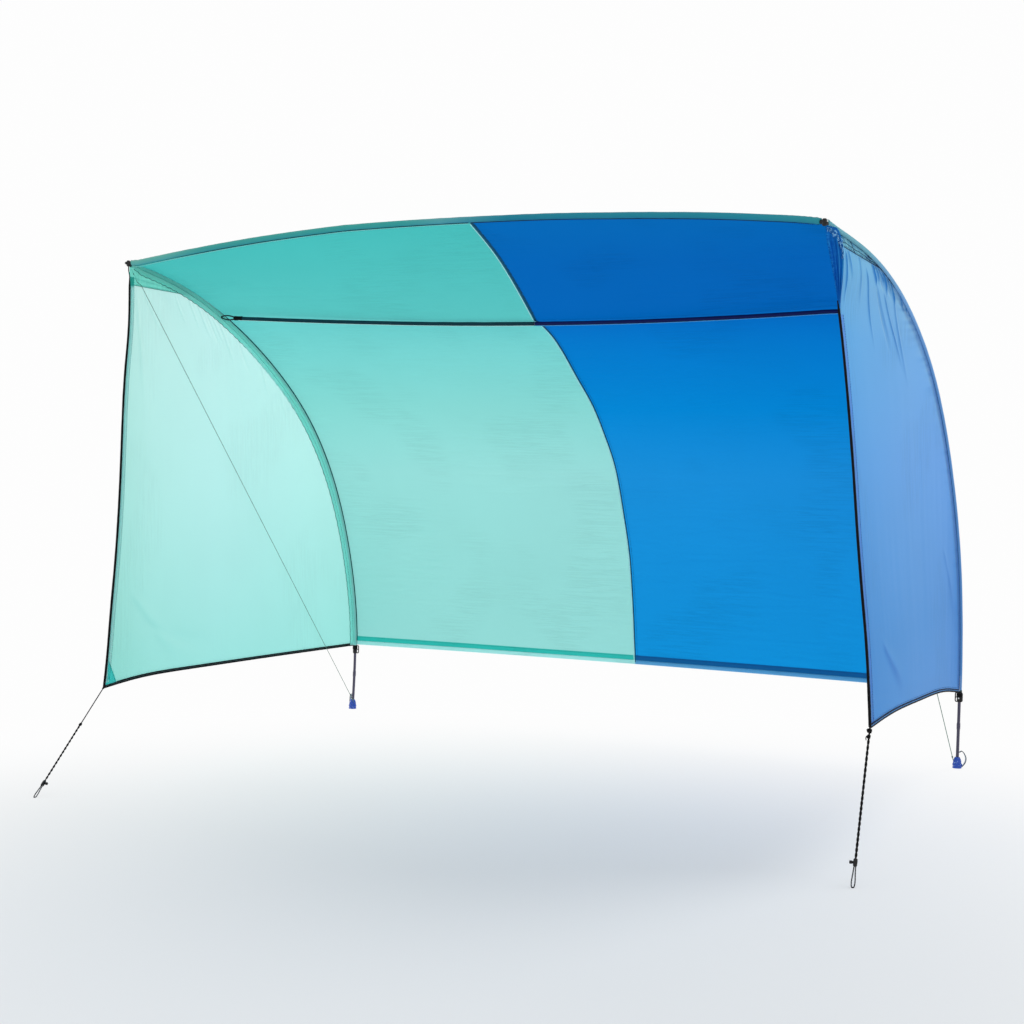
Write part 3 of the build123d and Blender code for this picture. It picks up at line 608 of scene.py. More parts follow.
# ring adds two lighter stripes along the pole: painted highlights
m_pole = solid("pole_grey_glass_fibre", (.050, .045, .080), rough=.35, vary=.12, spec=.4,
               ring=[(0, W1), (.25, (1.5, 1.5, 1.5)), (.5, W1), (.75, (1.5, 1.5, 1.5)), (1, W1)])
m_pole_cad = solid("pole_grey_glass_fibre_cad", (.045, .042, .066), rough=.35, vary=.15, spec=.4, scale=25.0)
m_black = solid("black_plastic", (.006, .006, .007), rough=.42, vary=.2, spec=.35, wear_and_glint=((.05, .05, .055), .35))
m_white = solid("white_plastic_bits", (.70, .73, .74), rough=.5, vary=.1)
# Foot: strong dark mottle and light flecks, painted shade and painted highlights standing in for its facets
m_foot = solid("foot_blue_plastic", (.006, .06, .42), rough=.3, vary=.5, scale=170.0, wear_and_glint=((.38, .58, .90), .8))
m_seam_c = solid("centre_seam_blue", (.003, .10, .19), rough=.7, weave=(2, 900), bump=.3, spec=.15)
# Corner ruffle: fold paints light crests and dark troughs, painted highlights and painted shade
m_frill = cloth("corner_ruffle_blue", [(0, (.09, .36, .74)), (1, (.10, .38, .76))], (0, .1), share=.4, spec=.1, fold=((.10, .30, .50), (5.5, 2.4, 1.35)))
m_edge_t = solid("arch_seam_dark_teal", (.002, .085, .085), rough=.7, weave=(2, 900), bump=.3, spec=.12)
# a white-teal line beside the centre seam: painted highlight
m_seam_highlight = solid("seam_painted_highlight_white_teal", (.58, .99, 1.0), rough=.8, spec=.1, vary=.1)
m_seam_blue = solid("sleeve_seam_blue", (.05, .19, .50), rough=.7, weave=(2, 900), bump=.3, spec=.15)
m_thread_w = solid("thread_light_blue", (.20, .44, .82), rough=.7, spec=.15)
m_cord = solid("black_braid", (.006, .006, .007), rough=.8, weave=(3, 420), bump=.8, dist=.0006, spec=.15)
m_cord_t = solid("black_braid_tracer", (.006, .006, .007), rough=.8, weave=(3, 420), bump=.8, dist=.0006, spec=.15,
                 fleck=((.35, .37, .40), 120.0, .28, 1.0))
m_string = solid("bowstring_braid", (.10, .27, .24), rough=.8, weave=(2, 300), bump=.6, spec=.15,
                 fleck=((.22, .20, .12), 160.0, .3, 1.0))
m_loop = solid("pull_loop_tape", (.006, .006, .008), rough=.75, bump=.5, spec=.15)
m_loop_in = cloth("pull_loop_lining", [(0, (.55, .66, .74)), (1, (.55, .66, .74))], (0, 1), share=.3)
m_thread_t = solid("thread_teal", (.02, .20, .19), rough=.7, spec=.2)
m_thread_b = solid("thread_blue", (.004, .03, .16), rough=.7, spec=.2)
m_thread_p = solid("thread_pale", (.40, .72, .70), rough=.7, spec=.2)

# -------------------------------------------------------------- guide curves
arch = spline(ARCH, 900)                       # right side pole, corner to foot
arch_t = unit(np.gradient(arch, axis=0))
arch_out = unit(np.stack([np.zeros(len(arch)), -arch_t[:, 2], arch_t[:, 1]], 1))   # away from the chord
TUBE_R = .0078


def lip_pt(t):
    t = np.asarray(t, float)
    b = 1 - t * t
    return np.stack([1.281 * t, -.200 + .195 * b - .071 * b * t * t, 1.812 + .100 * b + .015 * b * t * t], -1)


def bar_pt(t):
    t = np.asarray(t, float)
    b = 1 - t * t
    return np.stack([1.316 * t, .395 + .058 * b, 1.630 - .031 * b], -1)


sleeve_line = cut_z(arch, SLEEVE_END)
sleeve_out = arch_out[:len(sleeve_line)]
attach = sleeve_line + sleeve_out * TUBE_R * .55 - np.array([TUBE_R * .8, 0, 0])
k_bar = int(np.argmin(np.abs(sleeve_line[:, 1] - .412)))
k_lip = int(np.argmax(sleeve_line[:, 1] > -.188))
pieces = []
# the two ends and the middle of the lip don't lie quite evenly: small rises and dips along it, and along
# the right pole, in metres
LIP_T = [-1.02, -1, -.97, -.90, -.80, -.60, -.37, -.15, .08, .25, .42, .58, .75, .90, .965, 1, 1.2]
LIP_DZ = [0, 0, -.006, -.0055, -.003, .004, .0100, .007, .004, .003, .001, .002, .0055, .0095, .0125, .0135, .0135]
POLE_Y = [-.5, -.20, -.10, 0, .12, .30, .45, .60, .75, 1.0]
POLE_DZ = [.0135, .0135, .0085, .005, .001, -.005, -.0095, -.011, -.008, 0]


# the spreader bar lies a little askew in its channel: further forward on the left, further back on the right
BAR_T = [-1.0, -.95, -.88, -.82, -.75, -.62, -.48, -.36, -.23, -.10, .08, .20, .31, .43, .54, .65, .75, .84, 1.0]
BAR_DS = [-.0380, -.0375, -.0360, -.0336, -.0306, -.0245, -.0181, -.0115, -.0055, 0, .0065, .0106, .0142, .0168, .0190, .0209, .0222, .0228, .0232]
BAR_DIR = np.array([0, .894, -.447])


def settle(o):
    me = o.data
    co = np.zeros(len(me.vertices) * 3)
    me.vertices.foreach_get("co", co)
    co = co.reshape(-1, 3)
    x, y, z = co[:, 0] - CX, co[:, 1] - CY, co[:, 2]
    front = np.interp(x / 1.281, LIP_T, LIP_DZ) * (1 - smooth(y, .0, .40)) * smooth(z, 1.45, 1.76)
    pole = np.interp(y, POLE_Y, POLE_DZ) * smooth(z, 1.15, 1.60)
    k = smooth(x, 1.05, 1.27)
    co[:, 2] += front * (1 - k) + pole * k
    t = x / 1.316
    bb = np.clip(1 - t * t, 0, 1)
    gap = np.hypot(y - (.395 + .058 * bb), z - (1.630 - .031 * bb))
    part = 1.0 if "bar_" in o.name else np.exp(-(gap / .20) ** 2) * (1 - smooth(np.abs(x), 1.17, 1.262))
    co += (np.interp(t, BAR_T, BAR_DS) * part)[:, None] * BAR_DIR
    me.vertices.foreach_set("co", co.ravel())
    me.update()


def piece(o, slot, *nodes):
    """Every visible piece: settled and kept, and the CAD nodes that it stands for hidden; slot, its finish, is not
    used.
    """
    settle(o)
    if nodes:
        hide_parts(*nodes)
    pieces.append(o)
    return o


def arc_len(line):
    return np.concatenate([[0], np.cumsum(np.linalg.norm(np.diff(line, axis=0), axis=1))])


def wrinkles(Y, Z, lines, seed=0.0):
    """Height of narrow pulled folds, each from (y0, z0) to (y1, z1), with a width and a depth."""
    h = np.zeros(Y.shape)
    for i, (y0, z0, y1, z1, width, depth) in enumerate(lines):
        a = np.array([y0, z0])
        d = np.array([y1 - y0, z1 - z0])
        L = np.hypot(*d)
        d /= L
        ry, rz = Y - a[0], Z - a[1]
        t = (ry * d[0] + rz * d[1]) / L
        bend = np.sin(t * 2.6 + i * 1.7 + seed) * width * .8
        q = (-ry * d[1] + rz * d[0]) + bend
        w = width * (.6 + .8 * np.clip(t, 0, 1))
        g = np.exp(-(q / w) ** 2) - .55 * np.exp(-((q - 2.1 * w) / (1.3 * w)) ** 2)
        h += depth * g * smooth(t, -.12, .08) * (1 - smooth(t, .45, 1.1))
    return h


# ------------------------------------------------------------------- canopy
def canopy_half(s, nu, nr, nb):
    """Rows from the lip to the hem, columns from the centre seam (u=0) to the arch (u=1)."""
    roof = spline(np.c_[np.zeros(len(ROOF_MID)), ROOF_MID], nr)
    back = spline(np.c_[np.zeros(len(BACK_MID)), BACK_MID], nb)
    side_r, side_b = even(attach[k_lip:k_bar + 1], nr), even(attach[k_bar:], nb)
    seam = np.vstack([roof, back[1:]])
    side = np.vstack([side_r, side_b[1:]])
    u = np.linspace(0, 1, nu)
    P = np.zeros((len(seam), nu, 3))
    P[..., 0] = side[:, None, 0] * u
    for k in (1, 2):
        P[..., k] = seam[:, None, k] + (side[:, None, k] - seam[:, None, k]) * u ** 2
    x = P[0, :, 0]
    front = lip_pt(x / 1.281) + np.array([0, .004, -.006])
    delta = front - P[0]
    w = np.clip(1 - np.linspace(0, 1, nr) * 4.0, 0, 1) ** 2
    P[:nr] += delta[None] * w[:, None, None]
    P[..., 0] = np.clip(P[..., 0], 0, None)
    d = arc_len(seam)
    V = np.repeat(d[:, None], nu, 1)
    U = P[..., 0] * s
    Q = mir(P, s)
    N = normals(Q)
    if N[nr // 2, nu // 2, 2] < 0:
        N = -N
    dist_bar = np.abs(V - d[nr - 1])
    edge = np.minimum(U * s, side[:, None, 0] - U * s)
    fade = smooth(edge, 0, .05) * smooth(V, 0, .03) * smooth(d[-1] - V, 0, .03) * smooth(dist_bar, 0, .02)
    warp = field(U * 1.3, V * 1.5, 3.1 + s) * .05
    rip = field(U * 3.6, (V + warp) * 44, 11.7 + s * 2)
    patch = smooth(field(U * 1.9, V * 2.4, 5.5 + s), -.10, .35)
    ridge = np.clip(1 - np.abs(rip) * 2.2, 0, 1) ** 3
    swell = field(U * 1.1, V * 2.4, 21.0 + s, 2)
    h = .0011 * rip * patch + .0011 * ridge * patch + .0050 * swell
    # short puckers along the centre seam and along the arch seam
    pk = field(U * 9, V * 95, 61.0 + s) * np.exp(-np.abs(U) / .035) * smooth(np.abs(U), .001, .006) * .0022
    pa = field(U * 9, V * 60, 71.0 + s) * np.exp(-(side[:, None, 0] - U * s) / .05) * .0022
    keep = smooth(V, 0, .03) * smooth(d[-1] - V, 0, .03)
    Q = Q + N * (h * fade + (pk + pa * smooth(side[:, None, 0] - U * s, .001, .008)) * keep)[..., None]
    return Q, np.stack([U, V], -1), d


NU, NR, NB = 112, 132, 420
QL, UV, seam_d = canopy_half(-1, NU, NR, NB)
canopy_l = piece(grid_obj("canopy_teal_sheet", QL, UV, m_teal, flip=True), "teal_cloth", "roof_panel_left", "back_panel_left")
QR, UV, seam_d = canopy_half(1, NU, NR, NB)
canopy_r = piece(grid_obj("canopy_blue_sheet", QR, UV, m_blue), "blue_cloth", "roof_panel_right", "back_panel_right")
flat_len = float(seam_d[-1])


def out_normals(Q):
    N = normals(Q)
    return -N if N[N.shape[0] // 4, N.shape[1] // 2, 2] < 0 else N


def strip_on(name, Q, j0, mat, offset, flip=False):
    """A strip that lies inside a grid's last rows, moved along the normal."""
    P = (Q - out_normals(Q) * offset)[j0:]
    d = arc_len(P[:, 0])
    return grid_obj(name, P, np.stack([P[..., 0], np.repeat(d[:, None], P.shape[1], 1)], -1), mat, flip)


rows_hem = int(round(.040 / (flat_len - seam_d[NR - 1]) * NB))
piece(strip_on("back_hem_teal", QL, -rows_hem, m_hem_t, .0014, True), "teal_cloth", "back_hem_left")
piece(strip_on("back_hem_blue", QR, -rows_hem, m_hem_b, .0014), "blue_cloth", "back_hem_right")
for s, Q, mat in ((-1, QL, m_thread_t), (1, QR, m_thread_b)):
    N = out_normals(Q)
    for nm, j in (("upper", -rows_hem + 1), ("middle", -rows_hem // 2)):
        for side, k in (("inner", -.0019), ("outer", .0006)):
            piece(stitches(f"back_hem_stitch_{nm}_{side}_{SIDE[s]}", (Q + N * k)[j], N[j] * np.sign(k), mat), f"{'teal' if s < 0 else 'blue'}_cloth")

# centre seam: a felled fold with its stitches, seen from both sides
seam_pts = (QR[:, 0] + QL[:, 0]) / 2
seam_n = unit(out_normals(QR)[:, 0] * np.array([0, 1, 1]))


def seam_strip(name, j0, j1):
    line, n = seam_pts[j0:j1], seam_n[j0:j1]
    w = np.interp(arc_len(seam_pts)[j0:j1] / flat_len, [0, .22, .26, .6, 1], [1.0, 1.0, .55, .42, .42])
    xs = np.array([-.0020, -.0006, .0030, .0070, .0096])
    hs = np.array([.0002, .0017, .0021, .0016, .0002])
    xs2, hs2 = xs[::-1], -hs[::-1]
    P = np.stack([line + n * h + w[:, None] * np.array([x, 0, 0]) for x, h in list(zip(xs, hs)) + list(zip(xs2, hs2))], 1)
    d = arc_len(line)
    rows, cols = P.shape[:2]
    UVs = [(k / cols, d[i]) for i in range(rows) for k in range(cols)]
    faces = grid_faces(rows, cols, close=True) + [tuple(range(cols))[::-1], tuple((rows - 1) * cols + k for k in range(cols))]
    return mesh_obj(name, P.reshape(-1, 3) + OFF, faces, UVs, mats=[m_seam_c])


piece(seam_strip("roof_centre_seam", 2, NR), "seam_tape", "roof_seam_tape")
piece(seam_strip("back_centre_seam", NR - 1, len(seam_pts) - 2), "seam_tape", "back_seam_tape")
# a white-teal line beside the seam: painted highlight
piece(tube("centre_seam_painted_highlight", seam_pts[3:-3] - seam_n[3:-3] * .0016 + np.array([-.0036, 0, 0]), .0014, m_seam_highlight, segs=8), "seam_tape")
for x, nm in ((-.0062, "teal"), (.0112, "blue")):
    for sg, side in ((-1, "inner"), (1, "outer")):
        line = seam_pts + seam_n * (.0006 * sg) + np.array([x, 0, 0])
        piece(stitches(f"centre_seam_stitch_{nm}_{side}", line[4:-4], seam_n[4:-4] * sg, m_thread_p if nm == "teal" else m_thread_b, pitch=.006, size=(.0021, .0005)), "seam_tape")

# ------------------------------------------------------- lip and arch sleeves
lip_line = lip_pt(np.linspace(-.990, .990, 420))
lip_d = arc_len(lip_line)


def ends(d, L, reach, amp, wave):
    """Ring pleats where the cloth bunches at both ends of a tube."""
    k = np.exp(-np.minimum(d, L - d) / reach)
    return 1 + amp * k * math.sin(2 * math.pi * d / wave)


lip_tube = piece(tube("front_lip_sleeve_tube", lip_line, .0092, m_lip, segs=20, caps=True, section=(1.05, .85),
                      rib=lambda a, d: 1 + .05 * n3(d * 25, a, 1.0) + .10 * math.exp(-min(d, lip_d[-1] - d) / .05) * math.sin(d * 700 + 2 * math.sin(a))),
                 "sleeve_cloth", "front_lip_sleeve")
# the canopy's seam under the lip sleeve
for s, mat in ((-1, m_seam), (1, m_seam_lip)):
    line = lip_pt(np.linspace(.004, .985, 200) * s) + np.array([0, .0050, -.0098])
    thin = np.interp(np.arange(200), [0, 150, 185, 199], [1, 1, .45, .3])
    piece(tube(f"lip_seam_{SIDE[s]}", line, (.0013 if s < 0 else .0018) * thin, mat, segs=8), "sleeve_cloth")
    if s < 0:
        # a pale line beside the seam: painted highlight
        piece(tube("lip_seam_painted_highlight", line + np.array([0, .0062, -.0022]), .0010, m_edge_and_highlight_t, segs=6), "sleeve_cloth")
for side, dy, dz, n in (("inner", .013, -.0105, (0, -.4, -1)), ("outer", .0105, .001, (0, .3, 1))):
    line = lip_pt(np.linspace(-.97, .97, 300)) + np.array([0, dy, dz])
    piece(stitches(f"lip_stitch_{side}", line, n, m_thread_b, pitch=.0075), "sleeve_cloth")


def arch_tube(s):
    start = int(np.argmax(sleeve_line[:, 1] > -.186))
    line = even(mir(sleeve_line[start:], s), 520)
    L = length(line)

    def rib(a, d):
        k = math.exp(-d / .045)
        soft = .04 * n3(d * 14, math.cos(a), s) + .03 * math.exp(-(L - d) / .05) * math.sin(d * 420)
        return 1 + soft + (.34 if s > 0 else .14) * k * math.sin(d * 640 + 1.8 * math.sin(a + 1) + 4 * n3(d * 40, a))

    return tube(f"{SIDE[s]}_arch_sleeve_tube", line, TUBE_R, m_tube_l if s < 0 else m_tube_r, segs=20, caps=True, rib=rib)


for s in (-1, 1):
    piece(arch_tube(s), "sleeve_cloth", f"{SIDE[s]}_arch_sleeve")

# the seam that joins the canopy to each arch sleeve, on the inside
for s in (-1, 1):
    k = int(np.argmax(sleeve_line[:, 1] > -.150))
    base, out = even(mir(attach, s)[k:-6], 420), unit(even(sleeve_out[k:len(attach) - 6], 420))
    wid = np.interp(np.linspace(0, 1, 420), [0, .06, .35, .6, 1], [.0008, .0015, .0020, .0024, .0024])
    piece(tube(f"{SIDE[s]}_arch_seam", base - np.array([s * .0016, 0, 0]) - out * .0008, wid, m_edge_t if s < 0 else m_navy_seam_and_bar_shadow, segs=8), "sleeve_cloth")

FACE_N = 420


def facing(s):
    """The sleeve's flat leaf, on the inside of the wall, from beside the pole to its stitched lower edge."""
    k = int(np.argmax(sleeve_line[:, 1] > -.188))
    base, out = even(mir(sleeve_line, s)[k:], FACE_N), unit(even(sleeve_out[k:], FACE_N))
    d = arc_len(base)
    f0 = .0075 - .0140 * smooth(d, .25, 1.05)
    dx0 = .0096 - .0072 * smooth(d, .30, 1.0)
    narrow = .62 + .38 * smooth(d, .0, .08)
    rows = []
    for q, dx in ((0, 1.0), (.25, .95), (.46, .75), (.50, .72), (.54, .70), (.75, .5), (1.0, .30)):
        f = f0 - .034 * narrow * q
        if q == 1.0:      # scalloped where the thread pulls it
            f = f + .0012 * np.sin(d * 2 * math.pi / .036 + 2 * np.array([n3(x * 9, 4.0) for x in d]))
        bulge = .0012 * np.array([n3(x * 30, q * 3.0, 5.0 + s) for x in d]) if 0 < q < 1 else 0
        ridge = .0012 if q == .50 else 0
        rows.append(base + out * f[:, None] - np.array([s, 0, 0]) * (dx0 * dx + .0014 + bulge + ridge)[:, None])
    P = np.stack(rows, 1)
    UVf = np.stack([np.repeat(np.linspace(0, 1, 7)[None], FACE_N, 0), np.repeat(d[:, None], 7, 1)], -1)
    return P, out, grid_obj(f"{SIDE[s]}_sleeve_facing", P, UVf, m_face_l if s < 0 else m_face_r, flip=s < 0)


for s in (-1, 1):
    P, out, o = facing(s)
    piece(o, "sleeve_cloth")
    inn = np.array([-s, 0, 0.0])
    th = m_thread_t if s < 0 else m_thread_b
    piece(tube(f"{SIDE[s]}_sleeve_lower_seam", P[3:-2, -1] + inn * .0004, .0009, m_seam, segs=6), "sleeve_cloth")
    # a pale line along the facing's edge: painted highlight
    piece(tube(f"{SIDE[s]}_sleeve_edge_painted_highlight", P[3:-2, 0] + inn * .0004, .0010, m_edge_and_highlight_t if s < 0 else m_bar_highlight_b, segs=6), "sleeve_cloth")
    piece(stitches(f"{SIDE[s]}_sleeve_middle_stitch", P[3:-2, 3] + inn * .0005, inn, th, pitch=.007), "sleeve_cloth")
    # outside: the sleeve's stitched seam lies on the wall just inside the pole
    base = even(mir(sleeve_line, s)[int(np.argmax(sleeve_line[:, 1] > -.12)):], 400)
    o2 = unit(even(sleeve_out[int(np.argmax(sleeve_line[:, 1] > -.12)):], 400))
    d2 = arc_len(base)
    line = base - o2 * (TUBE_R + .0012) + np.array([s, 0, 0]) * .0016
    wid = .0016 * (1 - smooth(d2, .5, .9)) + .0006
    if s > 0:     # scalloped where the thread bites near the corner, fine further down
        bite = np.array([n3(x * 55, 3.0) for x in d2])
        wid = .0004 + .0022 * np.clip(bite + .25, 0, 1) * smooth(d2, .16, .24) * (1 - smooth(d2, .40, .50)) + .0007 * smooth(d2, .95, 1.1)
    if s > 0:
        cut = int(np.argmax(d2 > .47))
        piece(tube("right_sleeve_outer_seam", line[:cut], wid[:cut], m_seam_lip, segs=6), "sleeve_cloth")
        piece(tube("right_sleeve_outer_seam_low", line[cut - 1:], wid[cut - 1:], m_seam_blue, segs=6), "sleeve_cloth")
    else:
        piece(tube("left_sleeve_outer_seam", line, wid, m_thread_t, segs=6), "sleeve_cloth")
    piece(stitches(f"{SIDE[s]}_sleeve_outer_stitch", line - o2 * .0045 - np.array([s, 0, 0]) * .0006, (s, 0, 0), th if s < 0 else m_thread_w, pitch=.007), "sleeve_cloth")

# ---------------------------------------------------------------------- walls
GUSSET_Z = {-1: 1.737, 1: 1.752}
# right side: the cloth turns toward the front between its edge and this crease
CREASE_R = np.array([(1.3030, -.1330, 1.7925), (1.3080, -.1230, 1.7700), (1.3120, -.1190, 1.7300), (1.3115, -.1210, 1.6680),
                     (1.3020, -.1120, 1.5950), (1.3000, -.1080, 1.5500), (1.3095, -.1080, 1.4620)])


def coons(top, low, left, right, nu, nv, ys=None):
    t, b, l, r = even(top, nu), even(low, nu), even(left, 1200), even(right, 1200)
    y = np.linspace(0, 1, nv) if ys is None else ys
    pick = lambda c: np.stack([np.interp(y, np.linspace(0, 1, 1200), c[:, i]) for i in range(3)], 1)
    l, r = pick(l), pick(r)
    x = np.linspace(0, 1, nu)[None, :, None]
    y = y[:, None, None]
    P = t[None] * (1 - y) + b[None] * y + l[:, None] * (1 - x) + r[:, None] * x
    P -= t[0] * (1 - x) * (1 - y) + t[-1] * x * (1 - y) + b[0] * (1 - x) * y + b[-1] * x * y
    return P


def wall_front(s):
    """Front boundary of the wall, from the corner down."""
    edge = spline(WALL_EDGE[s], 900)
    if s < 0:
        return edge
    return np.vstack([spline(CREASE_R, 300), edge[edge[:, 2] < 1.455]])


FAN = {1: [(.121, 1.726, .164, 1.66, .0042, .0042), (.166, 1.718, .225, 1.650, .0045, -.0045), (.203, 1.708, .262, 1.645, .0040, .0045),
           (.244, 1.699, .295, 1.640, .0040, -.0040), (.287, 1.687, .330, 1.620, .0045, .0040), (.145, 1.722, .185, 1.668, .003, .003),
           (.224, 1.704, .268, 1.660, .003, -.003), (.363, 1.669, .415, 1.612, .0040, .0036), (.400, 1.655, .452, 1.590, .0035, -.0030),
           (.441, 1.639, .492, 1.580, .0040, .0030), (.520, 1.600, .575, 1.530, .004, .0022), (.610, 1.548, .660, 1.470, .004, .0018),
           (.074, 1.700, .150, 1.480, .0055, .0022), (.165, 1.650, .296, 1.470, .006, -.0022), (.237, 1.640, .417, 1.430, .006, .0020),
           (-.100, 1.735, -.088, 1.590, .0045, .0030), (-.086, 1.745, -.060, 1.660, .004, -.0028), (.004, 1.740, .040, 1.600, .006, .0015),
           (.320, 1.640, .470, 1.380, .008, .0016), (.05, .60, .25, .42, .02, .0010), (.95, .80, 1.15, .55, .02, .0007)],
       -1: [(.230, 1.695, .324, 1.560, .005, .0026), (.289, 1.668, .372, 1.530, .005, -.0026), (.183, 1.710, .240, 1.590, .005, .0022),
            (.373, 1.626, .459, 1.475, .005, .0024), (.485, 1.572, .560, 1.430, .005, -.0020), (.096, 1.720, .158, 1.600, .005, .0016),
            (.330, 1.648, .400, 1.540, .004, .0022), (.626, 1.478, .677, 1.340, .005, .0016), (.75, 1.38, .80, 1.24, .005, .0012),
            (-.098, 1.722, .009, 1.560, .006, .0014), (-.15, 1.70, -.10, 1.30, .010, .0015), (-.16, .60, .10, .38, .02, .0016),
            (-.05, .50, .30, .36, .02, -.0012)]}


def wall(s):
    """Columns from the front edge to the arch, rows from the gusset seam down to the hem."""
    front = cut = from_z(wall_front(s), GUSSET_Z[s])
    hem = spline(WALL_HEM[s], 400)
    side = mir(sleeve_line - sleeve_out * (TUBE_R * .9), s)
    rear = cut_z(from_z(side, 1.722), SLEEVE_END + .004)
    top = np.linspace(front[0], rear[0], 80)
    low = np.vstack([hem[:-1], rear[-1:]])
    nu, nv = 230, 235
    ys = np.linspace(0, 1, nv) ** 1.35
    P = coons(top, low, front, rear, nu, nv, ys)
    X = np.linspace(0, 1, nu)[None, :] * np.ones((nv, 1))
    Y = ys[:, None] * np.ones((1, nu))
    N = normals(P)
    if N[nv // 2, nu // 2, 0] * s < 0:
        N = -N
    fade = smooth(X, 0, .02) * smooth(1 - X, 0, .012) * smooth(Y, 0, .008) * smooth(1 - Y, 0, .02)
    broad = smooth(X, 0, .05) * smooth(1 - X, 0, .05) * smooth(Y, 0, .05) * smooth(1 - Y, 0, .04)
    swell = field(X * 2.2, Y * 1.6, 31 + s, 2)
    vert = field(P[..., 1] * 22 + .3 * P[..., 2], P[..., 2] * 1.9, 41 + s) * smooth(field(X * 2.5, Y * 2, 47 + s), -.2, .4)
    wr = wrinkles(P[..., 1], P[..., 2], FAN[s], s) * fade
    h = (.0065 * swell + .0014 * vert) * broad + wr * (1.6 if s > 0 else 1.0)
    # the thread pulls small puckers under the arch seam
    dist = np.linalg.norm(P - P[:, -1:], axis=-1)
    arc = arc_len(P[:, -1])[:, None] * np.ones((1, nu))
    pk = field(arc * 38, dist * 5, 83 + s) * np.exp(-dist / .040) * smooth(dist, .002, .010) * (1 - .75 * smooth(Y, .15, .7))
    h += pk * .0036
    P = P + N * h[..., None]
    # fold carries the wrinkles and puckers to the material, which paints shade in them and highlights on their crests
    fold = wr / (.0022 if s > 0 else .0036) + pk * (2.2 if s > 0 else 1.0)
    return P, np.stack([P[..., 1], 1.8 - P[..., 2]], -1), fold


for s in (-1, 1):
    P, UVw, fold = wall(s)
    piece(grid_obj(f"{SIDE[s]}_wall_sheet", P, UVw, m_wall_l if s < 0 else m_wall_r, flip=s > 0, fold=fold), f"{SIDE[s]}_wall_cloth", f"{SIDE[s]}_wall")


def gusset(s):
    """Doubled panel between the corner, the sleeve and the wall's top seam."""
    front = cut_z(wall_front(s), GUSSET_Z[s])
    side = mir(sleeve_line - sleeve_out * (TUBE_R * .9), s)
    side_top = cut_z(side, 1.722)
    if s < 0:
        front = np.vstack([[(-1.2825, -.194, 1.801)], front])
    k = int(np.argmax(side_top[:, 1] > front[0, 1] + .012))
    top = np.vstack([front[:1], side_top[k:]])
    seam = np.linspace(front[-1], side_top[-1], 80)
    nu, nv = 110, 30
    P = coons(top, seam, front, np.linspace(top[-1], seam[-1] + [0, .0005, -.0005], 5), nu, nv)
    N = normals(P)
    if N[nv // 2, nu // 3, 0] * s < 0:
        N = -N
    X = np.linspace(0, 1, nu)[None, :] * np.ones((nv, 1))
    Y = np.linspace(0, 1, nv)[:, None] * np.ones((1, nu))
    edge_k = smooth(X, 0, .05) * smooth(1 - X, 0, .1) * smooth(Y, 0, .12) * smooth(1 - Y, 0, .12)
    fine = field(P[..., 1] * 90, P[..., 2] * 12, 95 + s)
    h = (field(P[..., 1] * 30, P[..., 2] * 25, 91 + s, 2) * .003 + fine * .0022) * edge_k
    P = P + N * h[..., None]
    # fold carries the fine puckers to the material: painted shade and painted highlights
    o = grid_obj(f"{SIDE[s]}_top_gusset_sheet", P, np.stack([P[..., 1], P[..., 2]], -1), m_gus_l if s < 0 else m_gus_r, flip=s > 0, fold=fine * edge_k * 1.6)
    return o, P


for s in (-1, 1):
    o, P = gusset(s)
    piece(o, f"{SIDE[s]}_wall_cloth", f"{SIDE[s]}_top_gusset")
    x = np.array([s, 0, 0.0])
    th = m_thread_t if s < 0 else m_thread_b
    seam = P[-1, 2:-2]
    piece(tube(f"{SIDE[s]}_gusset_seam_outer", seam + x * .0010, .0013 if s > 0 else .0009, m_seam_lip if s > 0 else m_thread_t, segs=6), f"{SIDE[s]}_wall_cloth")
    piece(tube(f"{SIDE[s]}_gusset_seam_inner", seam - x * .0008, .0008, m_thread_t if s < 0 else m_seam_lip, segs=6), f"{SIDE[s]}_wall_cloth")
    up = P[int(P.shape[0] * .62), 3:-8]
    piece(tube(f"{SIDE[s]}_gusset_fold_line", up + x * .0010, .0008, m_seam_lip if s > 0 else m_thread_t, segs=6), f"{SIDE[s]}_wall_cloth")
    piece(stitches(f"{SIDE[s]}_gusset_stitch", seam + x * .0010 + np.array([0, 0, .004]), x, th, pitch=.006), f"{SIDE[s]}_wall_cloth")
    col = P[2:-1, int(P.shape[1] * (.30 if s > 0 else .14))]
    piece(tube(f"{SIDE[s]}_gusset_cross_stitch", col + x * .0010, .0007, m_seam_lip if s > 0 else m_thread_t, segs=6), f"{SIDE[s]}_wall_cloth")

# right front: the gathered cloth between the edge and the crease, in lengthwise pleats, with painted highlights and
# painted shade along them
nz, nx = 130, 60
zz = np.linspace(0, 1, nz)
e_top = np.vstack([[(1.2835, -.1985, 1.8060)], WALL_EDGE[1][0:1], spline(WALL_EDGE[1], 600)])
e_top = even(e_top[(e_top[:, 2] > 1.592) | (np.arange(len(e_top)) < 1)], nz)
c_low = spline(CREASE_R, 600)
c_low = even(np.vstack([[(1.2990, -.1420, 1.8020)], c_low[c_low[:, 2] > 1.590]]), nz)
across = np.linspace(0, 1, nx)
P = e_top[:, None] * (1 - across[None, :, None]) + c_low[:, None] * across[None, :, None]
wd = np.linalg.norm(c_low - e_top, axis=1)[:, None]
face_n = unit(np.cross(np.gradient(P, axis=1), np.gradient(P, axis=0)))
if face_n[nz // 2, nx // 2, 1] > 0:
    face_n = -face_n
ph = across[None, :] * 2 * math.pi * 3.6 + 2.6 * field(np.repeat(zz[:, None] * 3, nx, 1), across[None, :] * np.ones((nz, 1)) * 2, 5.0)
amp = (.0045 * smooth(zz, .02, .25) * (1 - .35 * smooth(zz, .6, 1)))[:, None] * np.minimum(1, wd / .02) * np.sin(np.pi * across)[None] ** .5
